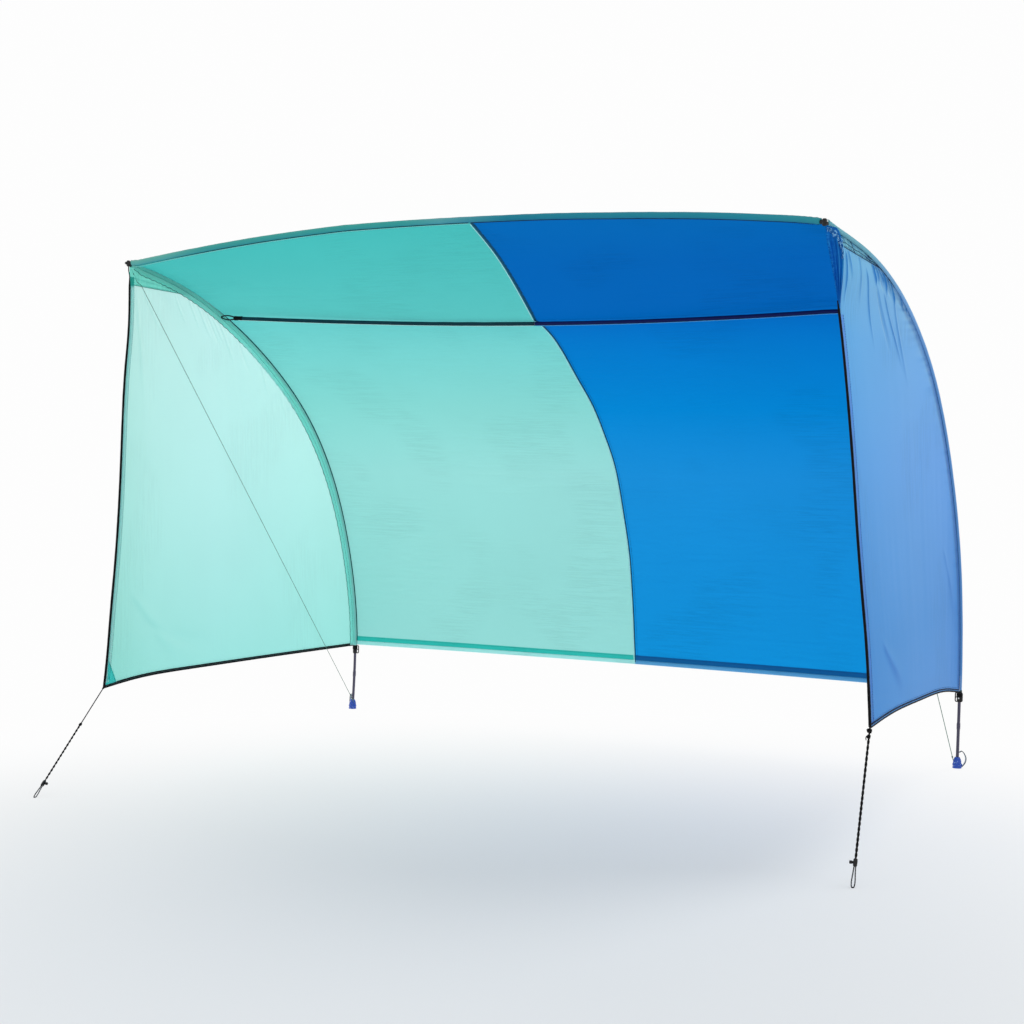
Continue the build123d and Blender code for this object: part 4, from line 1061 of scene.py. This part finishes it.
ruff = .0022 * np.sin(zz * 2 * math.pi * 17 + 2 * np.sin(zz * 9))[:, None] * np.exp(-across / .16)[None] * (1 - smooth(zz, .7, 1))[:, None]
P = P + face_n * (amp * np.sin(ph) + ruff)[..., None]
P = P + np.array([-1, 0, 0.0]) * (ruff * .7)[..., None]
stripe = np.sin(ph + .6) ** 3 * smooth(across, .35, .75)[None] * smooth(zz, .10, .35)[:, None]
ruck = field(np.repeat(zz[:, None] * 60, nx, 1), across[None] * np.ones((nz, 1)) * 4, 9.0) * np.exp(-across / .18)[None] * 1.6
line = field(across[None] * np.ones((nz, 1)) * 26, np.repeat(zz[:, None] * 3, nx, 1), 19.0) * .45
pleat_shade_mark = np.clip(-.55 * np.clip(stripe, -.5, 1) + line, -1, 1) * (1 - np.exp(-across / .12))[None] - np.clip(ruck, -.3, .9)
g = grid_obj("right_front_gather", P, np.stack([np.repeat(across[None], nz, 0), np.repeat((zz * .22)[:, None], nx, 1)], -1), m_gather_shade_r, fold=pleat_shade_mark)
piece(g, "right_wall_cloth")

# short ruffles where the sleeve's end is drawn up beside the corner, with painted highlights on their crests and
# painted shade between
fp = spline(np.array([(1.2860, -.1985, 1.7960), (1.2925, -.1740, 1.7890), (1.3000, -.1500, 1.7770), (1.3065, -.1310, 1.7590), (1.3095, -.1240, 1.7380), (1.3100, -.1220, 1.7150)]), 180)
cam_d = unit(np.array([.30, -.95, -.08]))
ft = unit(np.gradient(fp, axis=0))
fa = unit(np.cross(cam_d, ft))
tt, vv = np.linspace(0, 1, 180), np.linspace(-1, 1, 13)
wv = tt[:, None] * 2 * math.pi * 6.5 + 1.5 * vv[None] + 5.5 * field(tt[:, None] * 7 * np.ones((1, 13)), 1.6 * vv[None] * np.ones((180, 1)), 61.0)
half = (.0072 * smooth(tt, 0, .12) * (1 - .75 * smooth(tt, .55, 1)))[:, None] * (1 + .28 * np.sin(wv * .5 + 1))
P = fp[:, None] + fa[:, None] * (vv[None] * half)[..., None] + cam_d * (.0040 + .0030 * np.sin(wv) * smooth(tt, 0, .1)[:, None])[..., None]
fm_ = -np.clip(.9 * np.sin(wv + .4) + 1.6 * field(tt[:, None] * 40 * np.ones((1, 13)), vv[None] * 3 * np.ones((180, 1)), 67.0) - .35, -1, 1)
piece(grid_obj("right_corner_ruffle", P, np.stack([np.repeat(vv[None], 180, 0), np.repeat(tt[:, None] * .1, 13, 1)], -1), m_frill, fold=fm_), "sleeve_cloth")

# ------------------------------------------------------------ edges and cords
for s in (-1, 1):
    edge = spline(WALL_EDGE[s], 500)
    hem = spline(WALL_HEM[s], 400)
    if s > 0:
        edge = edge[edge[:, 2] < 1.600]
    t = unit(np.gradient(edge, axis=0))
    r = np.linspace(.0038, .0044, len(edge))
    r[:12] = np.linspace(.0016, .0038, 12)
    d = arc_len(edge)
    o = tube(f"{SIDE[s]}_front_edge_cord", edge, r, m_bind, segs=12, rib=lambda a, q: 1 + .07 * n3(q * 60, a) + .10 * n3(q * 11, 3.0))
    piece(o, "black_webbing", f"{SIDE[s]}_front_edge_binding")
    # doubled hem beside the cord, on both faces
    wid = .022
    back = np.array([0, 1.0, 0])
    side_x = np.array([s, 0, 0.0])
    zs = edge[:, 2]
    sel = edge[(zs < (GUSSET_Z[s] + .05 if s < 0 else 1.56)) & (zs > edge[-1, 2] + .012)]
    sel = even(sel, 300)
    lean = {-1: np.array([0, 1.0, 0]), 1: unit(np.array([.10, 1.0, .02]))}[s]
    cols = np.array([.0030, .0040, .0060, .0105, .0115, .0160, .0205, .0220])
    hs = np.array([0, .0010, .0013, .0013, .0009, .0013, .0012, .0003])
    for face, sg in (("inner", -1), ("outer", 1)):
        off = .0012 if sg < 0 else .0008
        P = np.stack([sel + lean * c + side_x * sg * (h + off) for c, h in zip(cols, hs)], 1)
        if s > 0:
            P[..., 0] += (P[..., 1] - sel[:, None, 1]) * .02
        dd = arc_len(sel)
        o = grid_obj(f"{SIDE[s]}_edge_hem_{face}", P, np.stack([np.repeat((cols / .022)[None], 300, 0), np.repeat(dd[:, None], 8, 1)], -1), m_strip_l if s < 0 else m_strip_r, flip=(s > 0) != (sg > 0))
        piece(o, f"{SIDE[s]}_wall_cloth")
        piece(stitches(f"{SIDE[s]}_edge_hem_stitch_{face}", P[:, 6] + side_x * sg * .0005, side_x * sg, m_thread_t if s < 0 else m_thread_b, pitch=.0075), f"{SIDE[s]}_wall_cloth")
    # hem: two cords with a pale piping between them
    up = np.array([0, 0, 1.0])
    a = tube(f"{SIDE[s]}_hem_cord_low", hem - up * .0026, .0029, m_bind, segs=10, rib=lambda a, q: 1 + .10 * n3(q * 40, a))
    b = tube(f"{SIDE[s]}_hem_cord_high", hem + up * .0048, .0022, m_bind if s < 0 else m_bind_r, segs=10, rib=lambda a, q: 1 + .10 * n3(q * 40, a, 3.0))
    c = tube(f"{SIDE[s]}_hem_piping", hem + up * .0014 + side_x * .0006, .0018, m_hem_line if s < 0 else m_pipe_r, segs=8)
    piece(join(f"{SIDE[s]}_wall_hem_cords", [a, b, c]), "black_webbing", f"{SIDE[s]}_wall_hem_binding")
    hb = hem[8:-8] + up * .0115
    piece(stitches(f"{SIDE[s]}_wall_hem_stitch", hb + side_x * .0016, side_x, m_thread_t if s < 0 else m_thread_b), f"{SIDE[s]}_wall_cloth")
    # corner patch with a pale turned edge
    c0 = edge[-1] + np.array([-s * .0022, .006, .006])
    c1 = edge[int(np.argmax(edge[:, 2] < edge[-1, 2] + .100))] + np.array([-s * .0022, .0045, 0])
    c2 = hem[int(np.argmax(hem[:, 1] > hem[0, 1] + .062))] + np.array([-s * .0022, 0, .0055])
    n = 14
    rows = []
    for i in range(n):
        f = max(i, .05) / (n - 1)
        l, r2 = c1 + (c0 - c1) * f, c1 + (c2 - c1) * f
        rows.append([l + (r2 - l) * (k / (n - 1)) + np.array([-s, 0, 0]) * .0006 * math.sin(math.pi * f) * math.sin(math.pi * k / (n - 1)) for k in range(n)])
    P = np.array(rows)
    piece(grid_obj(f"{SIDE[s]}_corner_patch_sheet", P, P[..., 1:3], m_patch_l if s < 0 else m_patch_r, flip=s < 0), f"{SIDE[s]}_wall_cloth", f"{SIDE[s]}_corner_patch")
    piece(tube(f"{SIDE[s]}_corner_patch_edge", even(np.array([c1, c2]), 20) + np.array([-s * .0006, 0, 0]), .0008, m_edge_and_highlight_t if s < 0 else m_thread_b, segs=6), f"{SIDE[s]}_wall_cloth")
    piece(stitches(f"{SIDE[s]}_corner_patch_stitch", even(np.array([c1, c2]), 20) + np.array([-s * .0006, -.003, -.002]), (-s, 0, 0), m_thread_t if s < 0 else m_thread_b, pitch=.006), f"{SIDE[s]}_wall_cloth")

# ------------------------------------------------------------- spreader bar
# the channel's dark colour is painted shadow of the pole inside it
for s, mat, highlight_mat, slot in ((-1, m_bar_shadow_t, m_bar_highlight_t, "teal_cloth"), (1, m_navy_seam_and_bar_shadow, m_bar_highlight_b, "blue_cloth")):
    ts = np.linspace(.0 if s < 0 else .003, .938, 150) * s
    line = bar_pt(ts)
    c = tube(f"{SIDE[s]}_bar_channel", line, .0068, mat, segs=16, caps=True, section=(1, .9), rib=lambda a, d: 1 + .06 * n3(d * 18, math.cos(a), 2.0))
    piece(c, slot)
    # a pale line under the channel: painted highlight
    piece(tube(f"{SIDE[s]}_bar_channel_edge", line + np.array([0, -.0030, -.0076]), .0011, highlight_mat, segs=6), slot)
    # eyelet that holds the bar's end: two strands that open and close to a point
    tip = bar_pt(np.array([s * .9975]))[0] + np.array([0, .002, .002])
    root = bar_pt(np.array([s * .945]))[0]
    ax = root - tip
    L = np.linalg.norm(ax)
    f = np.linspace(0, 1, 26)
    up = unit(np.array([0, -.25, 1.0]))
    half = .0074 * np.sin(np.pi * f ** .85) ** .9
    upper = tip + ax * f[:, None] + up * (half + .0008)[:, None]
    lower = tip + ax * f[:, None] - up * (half + .0008)[:, None]
    w = np.interp(f, [0, .3, .8, 1], [.0030, .0024, .0028, .0046])
    e = join(f"{SIDE[s]}_bar_eyelet", [tube("a", upper, w, m_black, segs=10), tube("b", lower, w, m_black, segs=10)])
    piece(e, "black_plastic", f"{SIDE[s]}_bar_end_cap")
    k = bar_pt(np.linspace(.925, .952, 12) * s)
    piece(tube(f"{SIDE[s]}_bar_collar", k, .0082, m_bind, segs=18, rib=lambda a, d: 1 + .03 * math.sin(d * 2200)), "black_webbing", f"{SIDE[s]}_bar_pocket")

# ------------------------------------------------------------ corner fittings
for s in (-1, 1):
    hub = np.array([1.281 * s, -.2000, 1.8105])
    ad = unit(mir(arch[30] - arch[0], s))
    ld = unit(lip_pt(.95 * s) - lip_pt(s * 1.0))
    parts = [lathe("h", hub + [0, 0, -.0105], (0, 0, 1), [(0, .0048), (.0012, .0066), (.006, .0072), (.015, .0072), (.0198, .0062), (.0212, .0040)], m_black, segs=24),
             lathe("a", hub - ad * .002, ad, [(0, .0058), (.004, .0066), (.010, .0074), (.0125, .0074), (.013, .0066), (.024, .0064), (.0252, .0056)], m_black, segs=20),
             lathe("l", hub - ld * .002, ld, [(0, .0050), (.004, .0060), (.010, .0066), (.0125, .0066), (.013, .0058), (.022, .0056), (.0235, .0050)], m_black, segs=20)]
    # outward nose with a small pale cap, and the strap that runs down to the edge cord
    nose = unit(np.array([.85 * s, -.5, .15]))
    parts.append(lathe("n", hub, nose, [(0, .0050), (.008, .0052), (.0105, .0046), (.0125, .0030)], m_black, segs=16))
    parts.append(lathe("w", hub + nose * .0118, nose, [(0, .0022), (.0016, .0022), (.0024, .0012)], m_white, segs=12))
    for q in (-1, 1):
        parts.append(lathe("k", hub + np.array([0, 0, .007 * q]) + ad * .012, np.array([0, 0, q * 1.0]), [(0, .0024), (.0028, .0024), (.0036, .0016)], m_white if q > 0 else m_black, segs=10))
    fit = join(f"{SIDE[s]}_corner_hub", parts)
    piece(fit, "black_plastic", f"{SIDE[s]}_corner_fitting")
    top = WALL_EDGE[s][0]
    if s < 0:
        strap = even(np.array([hub + [0, 0, -.009], hub + [-.001, .001, -.024], top + [0, 0, .004], top + [0, 0, -.01]]), 24)
        piece(ribbon("left_corner_strap", strap, .0030, (-1, -.3, 0), .0012, m_bind), "black_webbing")

# ----------------------------------------------------- guys, locks and loops
for s in (-1, 1):
    corner = WALL_EDGE[s][-1]
    end = np.array([*GUY_END[s], .0016])
    gd = unit(end - corner)
    L = float(np.linalg.norm(end - corner))
    at = lambda q: corner + gd * q
    lock = {-1: .88, 1: .85}[s] * L
    sd = unit(np.cross(gd, [0, 0, 1.0]))
    ud = np.cross(sd, gd)
    # tensioner: a grommet ring, an S hook and the guy's knot
    ring = coil(at(.0062) - sd * 0, sd, .0046, 1.0, 0.0, n=28)
    hook = np.array([at(.0095) + ud * .0040, at(.0130) + ud * .0042, at(.0160) + ud * .0016, at(.0185) - ud * .0022, at(.0215) - ud * .0040, at(.0245) - ud * .0026, at(.0250) + ud * .0010])
    if s > 0:
        knots = [tube("k1", coil(at(.0070), gd, .0048, 2.4, .0036, n=18), .0026, m_cord, segs=8),
                 tube("k2", coil(at(.0100) + sd * .0020, unit(gd + sd * .7), .0044, 1.4, .0026, n=18), .0022, m_cord, segs=8),
                 tube("k3", coil(at(.0250), unit(gd + sd * .15), .0034, 2.6, .0038, n=18), .0023, m_cord, segs=8),
                 tube("t", even(np.array([at(.004), at(.031)]), 6), .0024, m_cord, segs=8),
                 tube("e", spline(np.array([at(.026) + sd * .004, at(.030) + sd * .0075, at(.036) + sd * .0080, at(.041) + sd * .0066]), 12), .0013, m_cord, segs=8)]
        body = [tube("r", ring, .0020, m_black, segs=10, caps=False), tube("h", spline(hook, 40), .0021, m_black, segs=10)] + knots
    else:
        knots = [tube("k1", coil(at(.0040), gd, .0024, 2.0, .0022, n=18), .0012, m_cord, segs=8)]
        body = [tube("r", coil(at(.0040), sd, .0036, 1.0, 0.0, n=28), .0012, m_black, segs=10, caps=False)] + knots
        body.append(tube("t", even(np.array([at(.004), at(.031)]), 6), .0017, m_cord, segs=8))
    piece(join(f"{SIDE[s]}_hook_and_knot", body), "black_plastic", f"{SIDE[s]}_corner_tensioner")
    if s < 0:
        k = .356 * L
        g = [tube("s", even(np.array([at(.030), at(k)]), 40), .0018, m_cord, segs=8, rib=lambda a, d: 1 + .12 * math.sin(d * 900 + a)),
             tube("kn", coil(at(k - .006), gd, .0032, 3.2, .0032, n=18), .0019, m_cord, segs=8),
             twisted("tw", at(k), at(lock - .010), .0017, .0017, .034, m_cord)]
    else:
        g = [twisted("tw", at(.030), at(lock * .5), .0025, .0014, .034, m_cord),
             twisted("tv", at(lock * .5), at(lock - .010), .0025, .0015, .030, m_cord)]
    piece(join(f"{SIDE[s]}_guy_strands", g), "guy_cord", f"{SIDE[s]}_guy_line")
    # cord lock: grooved barrel with its plunger
    c = at(lock - .011)
    pd = sd * s
    barrel = lathe("b", c, gd, [(0, .0036), (.0010, .0052), (.0035, .0060), (.0050, .0056), (.0065, .0062), (.0085, .0058), (.0105, .0062), (.0125, .0058), (.0145, .0062), (.0165, .0056), (.0190, .0060), (.0212, .0050), (.0222, .0034)], m_black, segs=20)
    plunger = lathe("p", at(lock) , pd, [(.004, .0036), (.0085, .0036), (.0090, .0044), (.0150, .0046), (.0162, .0036)], m_black, segs=18, rib=lambda a, d: 1 + .05 * math.cos(9 * a))
    piece(join(f"{SIDE[s]}_lock_barrel", [barrel, plunger]), "black_plastic", f"{SIDE[s]}_cord_lock")
    # loop on the ground, a braid with a pale tracer
    a1, a2 = at(lock + .011) + sd * .0022, at(lock + .011) - sd * .0022
    mid = at(lock + (L - lock) * .55)
    path = spline(np.array([a1, mid + sd * .0040, end + sd * .0040 - gd * .004, end + sd * .0022, end - sd * .0022, end - sd * .0040 - gd * .004, mid - sd * .0038, a2]), 90)
    path[:, 2] = np.maximum(path[:, 2], .0019)
    piece(tube(f"{SIDE[s]}_ground_loop", path, .0018, m_cord_t, segs=10), "guy_cord", f"{SIDE[s]}_guy_loop")

# -------------------------------------------- sleeve ends, poles and the feet
for s in (-1, 1):
    e = mir(sleeve_line[-1], s)
    j = int(np.argmax(arch[:, 2] < SLEEVE_END))
    low_line = mir(arch[j:], s)
    dn = unit(low_line[30] - low_line[0])
    fw = unit(np.cross(dn, [0, 1.0, 0]) * s)          # outward, away from the wall
    fr = np.cross(fw, dn)
    # turned-over sleeve end with a pale binding
    piece(tube(f"{SIDE[s]}_sleeve_end_band", even(np.array([e - dn * .004, e + dn * .0045]), 5), [.0080, .0086, .0088, .0086, .0080], m_edge_and_highlight_t if s < 0 else m_hem_line, segs=22, caps=True), "sleeve_cloth")
    piece(ribbon(f"{SIDE[s]}_sleeve_end_tape", even(np.array([e - dn * .070 + fr * .0090 * -1, e - dn * .001 + fr * .0092 * -1]), 12), .0032, fr * -1, .0012, m_white), "sleeve_cloth")
    # buckle: a frame with a slot and a webbing wrap round the pole
    c = e + dn * .0215
    w, h = .0125, .0155
    corners = [(-w, -h), (w, -h), (w, h), (-w, h)]
    ringp = []
    for q in range(4):
        cx, cy = corners[q]
        ccx, ccy = cx - math.copysign(.004, cx), cy - math.copysign(.004, cy)
        a0 = [math.pi, 1.5 * math.pi, 0, .5 * math.pi][q]
        for a in np.linspace(a0, a0 + math.pi / 2, 7):
            ringp.append(c + fw * (ccx + .004 * math.cos(a)) + dn * (ccy + .004 * math.sin(a)) - fr * .0088)
    ringp.append(ringp[0])
    parts = [tube("f", np.array(ringp), .0021, m_black, segs=10, caps=False),
             tube("m", even(np.array([c - fw * w - fr * .0088, c + fw * w - fr * .0088]), 6), .0020, m_black, segs=10),
             lathe("c1", e + dn * .0030, dn, [(0, .0088), (.002, .0100), (.010, .0104), (.0175, .0100), (.019, .0090)], m_bind, segs=22, rib=lambda a, d: 1 + .03 * math.sin(d * 2600)),
             lathe("c2", e + dn * .0220, dn, [(0, .0080), (.0015, .0090), (.012, .0092), (.016, .0078), (.0165, .0068)], m_black, segs=22),
             lathe("st", c - fr * .0090 + dn * .004, -fr, [(0, .0026), (.0022, .0026), (.0030, .0018)], m_white, segs=12)]
    piece(join(f"{SIDE[s]}_buckle_frame", parts), "black_plastic", f"{SIDE[s]}_sleeve_buckle")
    # pole from corner to foot, with the sockets of its plug-in sections below the sleeve
    shaft = mir(arch[6:], s)
    shaft = shaft[shaft[:, 2] > .0068]
    parts = [tube("p", even(shaft, 420), .0056, m_pole, segs=18)]
    m = even(low_line[low_line[:, 2] > .02], 60)
    parts.append(tube("fer", m[26:33], [.0057, .0066, .0067, .0067, .0067, .0066, .0057], m_pole, segs=20))
    piece(join(f"{SIDE[s]}_arch_pole_shaft", parts), "pole", f"{SIDE[s]}_arch_pole")
    # foot: ribbed cap with a flat sole
    f0 = np.array([1.3126 * s, 1.2496, 0])
    lean = unit(np.array([0, .0026, .042]))
    prof = [(.0012, .0146), (.0022, .0164), (.0050, .0168), (.0072, .0150), (.0090, .0146), (.0120, .0158), (.0180, .0155), (.0205, .0140), (.0230, .0138), (.0260, .0140), (.0335, .0122), (.0385, .0104), (.0410, .0092), (.0418, .0072)]
    body = lathe("b", f0, lean, prof, m_foot, segs=60, rib=lambda a, d: 1 + (.045 * (1 if math.cos(10 * a) > 0 else -1) if .010 < d < .034 else 0))
    tab = lathe("t", f0 + np.array([.0135 * s, .006, .012]), unit(np.array([s, .6, .1])), [(0, .0050), (.003, .0046), (.0036, .0030)], m_foot, segs=16)
    piece(join(f"{SIDE[s]}_foot_cap", [body, tab]), "foot_plastic", f"{SIDE[s]}_foot")
    outd = unit(np.array([.75 * s, .66, 0]))
    P0, P1, P2 = f0 + outd * .0176 + [0, 0, .005], f0 + outd * .034 + [0, 0, .034], f0 + outd * .016 + [0, 0, .062]
    loop = spline(np.array([P0, P0 * .45 + P1 * .55 + outd * .0035 + [0, 0, -.003], P1 + outd * .0005, P1 * .5 + P2 * .5 + outd * .0035 + [0, 0, .003], P2, f0 + [s * .006, .006, .058]]), 60)
    tape = ribbon("o", loop, .0036, outd, .0010, m_loop)
    lining = ribbon("i", loop - outd * .0009, .0027, outd, .0006, m_loop_in)
    rim = [tube("r1", loop + np.cross(outd, [0, 0, 1.0]) * .0036, .0009, m_loop, segs=6), tube("r2", loop - np.cross(outd, [0, 0, 1.0]) * .0036, .0009, m_loop, segs=6)]
    piece(join(f"{SIDE[s]}_pull_tape", [tape, lining] + rim), "black_webbing", f"{SIDE[s]}_foot_pull_loop")
    # bowstring: thin braid, knotted at both ends
    a, b = np.array([s * 1.280, -.182, 1.796]), np.array([s * 1.300, 1.244, .030])
    bd = unit(b - a)
    run = even(np.array([a, b]), 400)
    if s < 0:     # it leaves the corner behind the gusset
        run = run + np.array([-.010, 0, 0]) * (1 - smooth(np.linspace(0, 1, 400), .0265, .0335))[:, None]
    st = [tube("s", run, .0010 if s < 0 else .0014, m_string, segs=8),
          tube("k1", coil(run[2] + bd * .012, bd, .0020, 2.5, .0020, n=16), .0011, m_string, segs=8),
          tube("k2", coil(b - bd * .020, bd, .0020, 2.5, .0020, n=16), .0011, m_string, segs=8)]
    piece(join(f"{SIDE[s]}_bowstring_braid", st), "bowstring", f"{SIDE[s]}_bowstring")

piece(tube("front_lip_pole_shaft", lip_pt(np.linspace(-.985, .985, 300)), .0047, m_pole, segs=14), "pole", "front_lip_pole")
piece(tube("spreader_bar_shaft", bar_pt(np.linspace(-.945, .945, 200)), .0047, m_pole, segs=14), "pole", "spreader_bar")

for o in pieces:
    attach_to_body(o, "root")

# -------------------------------------------------------- camera, light, floor
scene = bpy.context.scene
cam = bpy.data.cameras.new("camera")
cam.sensor_width = 36
cam.lens = 1742.476 / 1024 * 36
cam.clip_end = 500
cam.dof.use_dof = False
camera = link(bpy.data.objects.new("camera", cam))
zc = -unit(np.array([-0.4796, 0.8757, -0.0563]))
xc = np.array([0.877, 0.4804, 0.001])
xc = unit(xc - np.dot(xc, zc) * zc)
yc = np.cross(zc, xc)
camera.matrix_world = Matrix(((xc[0], yc[0], zc[0], 2.8987 + CX), (xc[1], yc[1], zc[1], -5.0 + CY),
                              (xc[2], yc[2], zc[2], 1.2798), (0, 0, 0, 1)))
scene.camera = camera
scene.view_settings.view_transform = "Standard"
scene.view_settings.look = "None"

world = bpy.data.worlds.new("studio")
scene.world = world
world.use_nodes = True
wt = world.node_tree
bg = wt.nodes["Background"]
bg.inputs[0].default_value = (1, 1, 1, 1)
bg.inputs[1].default_value = .80
seen = wt.nodes.new("ShaderNodeBackground")
seen.inputs[0].default_value = (1, 1, 1, 1)
seen.inputs[1].default_value = .985
path = wt.nodes.new("ShaderNodeLightPath")
mixw = wt.nodes.new("ShaderNodeMixShader")
wt.links.new(path.outputs["Is Camera Ray"], mixw.inputs[0])
wt.links.new(bg.outputs[0], mixw.inputs[1])
wt.links.new(seen.outputs[0], mixw.inputs[2])
wt.links.new(mixw.outputs[0], wt.nodes["World Output"].inputs["Surface"])

# painted light: away from a spot in front of the shelter the floor turns into white glow, which hides the horizon and
# lifts the shade under and behind the shelter
F = Tree("floor_white")
co = F.node("ShaderNodeTexCoord").outputs["Object"]
dv = F.node("ShaderNodeVectorMath", operation="DISTANCE")
F.link(co, dv.inputs[0])
dv.inputs[1].default_value = (1.0, -2.4, 0)
floor_glow = F.range(dv.outputs["Value"], .4, 4.0)
fm = F.mix(F.noise(co, .4), (.72, .745, .77), (.76, .78, .80))
pr = F.node("ShaderNodeBsdfPrincipled")
F.link(fm, pr.inputs["Base Color"])
pr.inputs["Roughness"].default_value = .9
pr.inputs["Specular IOR Level"].default_value = .1
em = F.node("ShaderNodeEmission")
em.inputs["Color"].default_value = (1, 1, 1, 1)
em.inputs["Strength"].default_value = .985
mf = F.node("ShaderNodeMixShader")
F.link(floor_glow, mf.inputs[0])
F.link(pr.outputs[0], mf.inputs[1])
F.link(em.outputs[0], mf.inputs[2])
F.done(mf.outputs[0])
me = bpy.data.meshes.new("floor")
me.from_pydata([(-60, -60, 0), (60, -60, 0), (60, 60, 0), (-60, 60, 0)], [], [(0, 1, 2, 3)])
me.materials.append(F.mat)
floor = link(bpy.data.objects.new("floor", me))

sun = bpy.data.lights.new("sun", "SUN")
sun.energy = .9
sun.angle = math.radians(30)
so = link(bpy.data.objects.new("sun", sun))
so.rotation_euler = Vector((-.35, -.62, -.85)).to_track_quat("-Z", "Y").to_euler()

d = bpy.data.lights.new("left_fill", "AREA")
d.shape = "RECTANGLE"
d.size, d.size_y = 3, 3
d.energy = 60
lf = link(bpy.data.objects.new("left_fill", d))
lf.location = (-5.0, .5, 2.2)
lf.rotation_euler = (Vector((-1.3, .3, 1.0)) - lf.location).to_track_quat("-Z", "Y").to_euler()
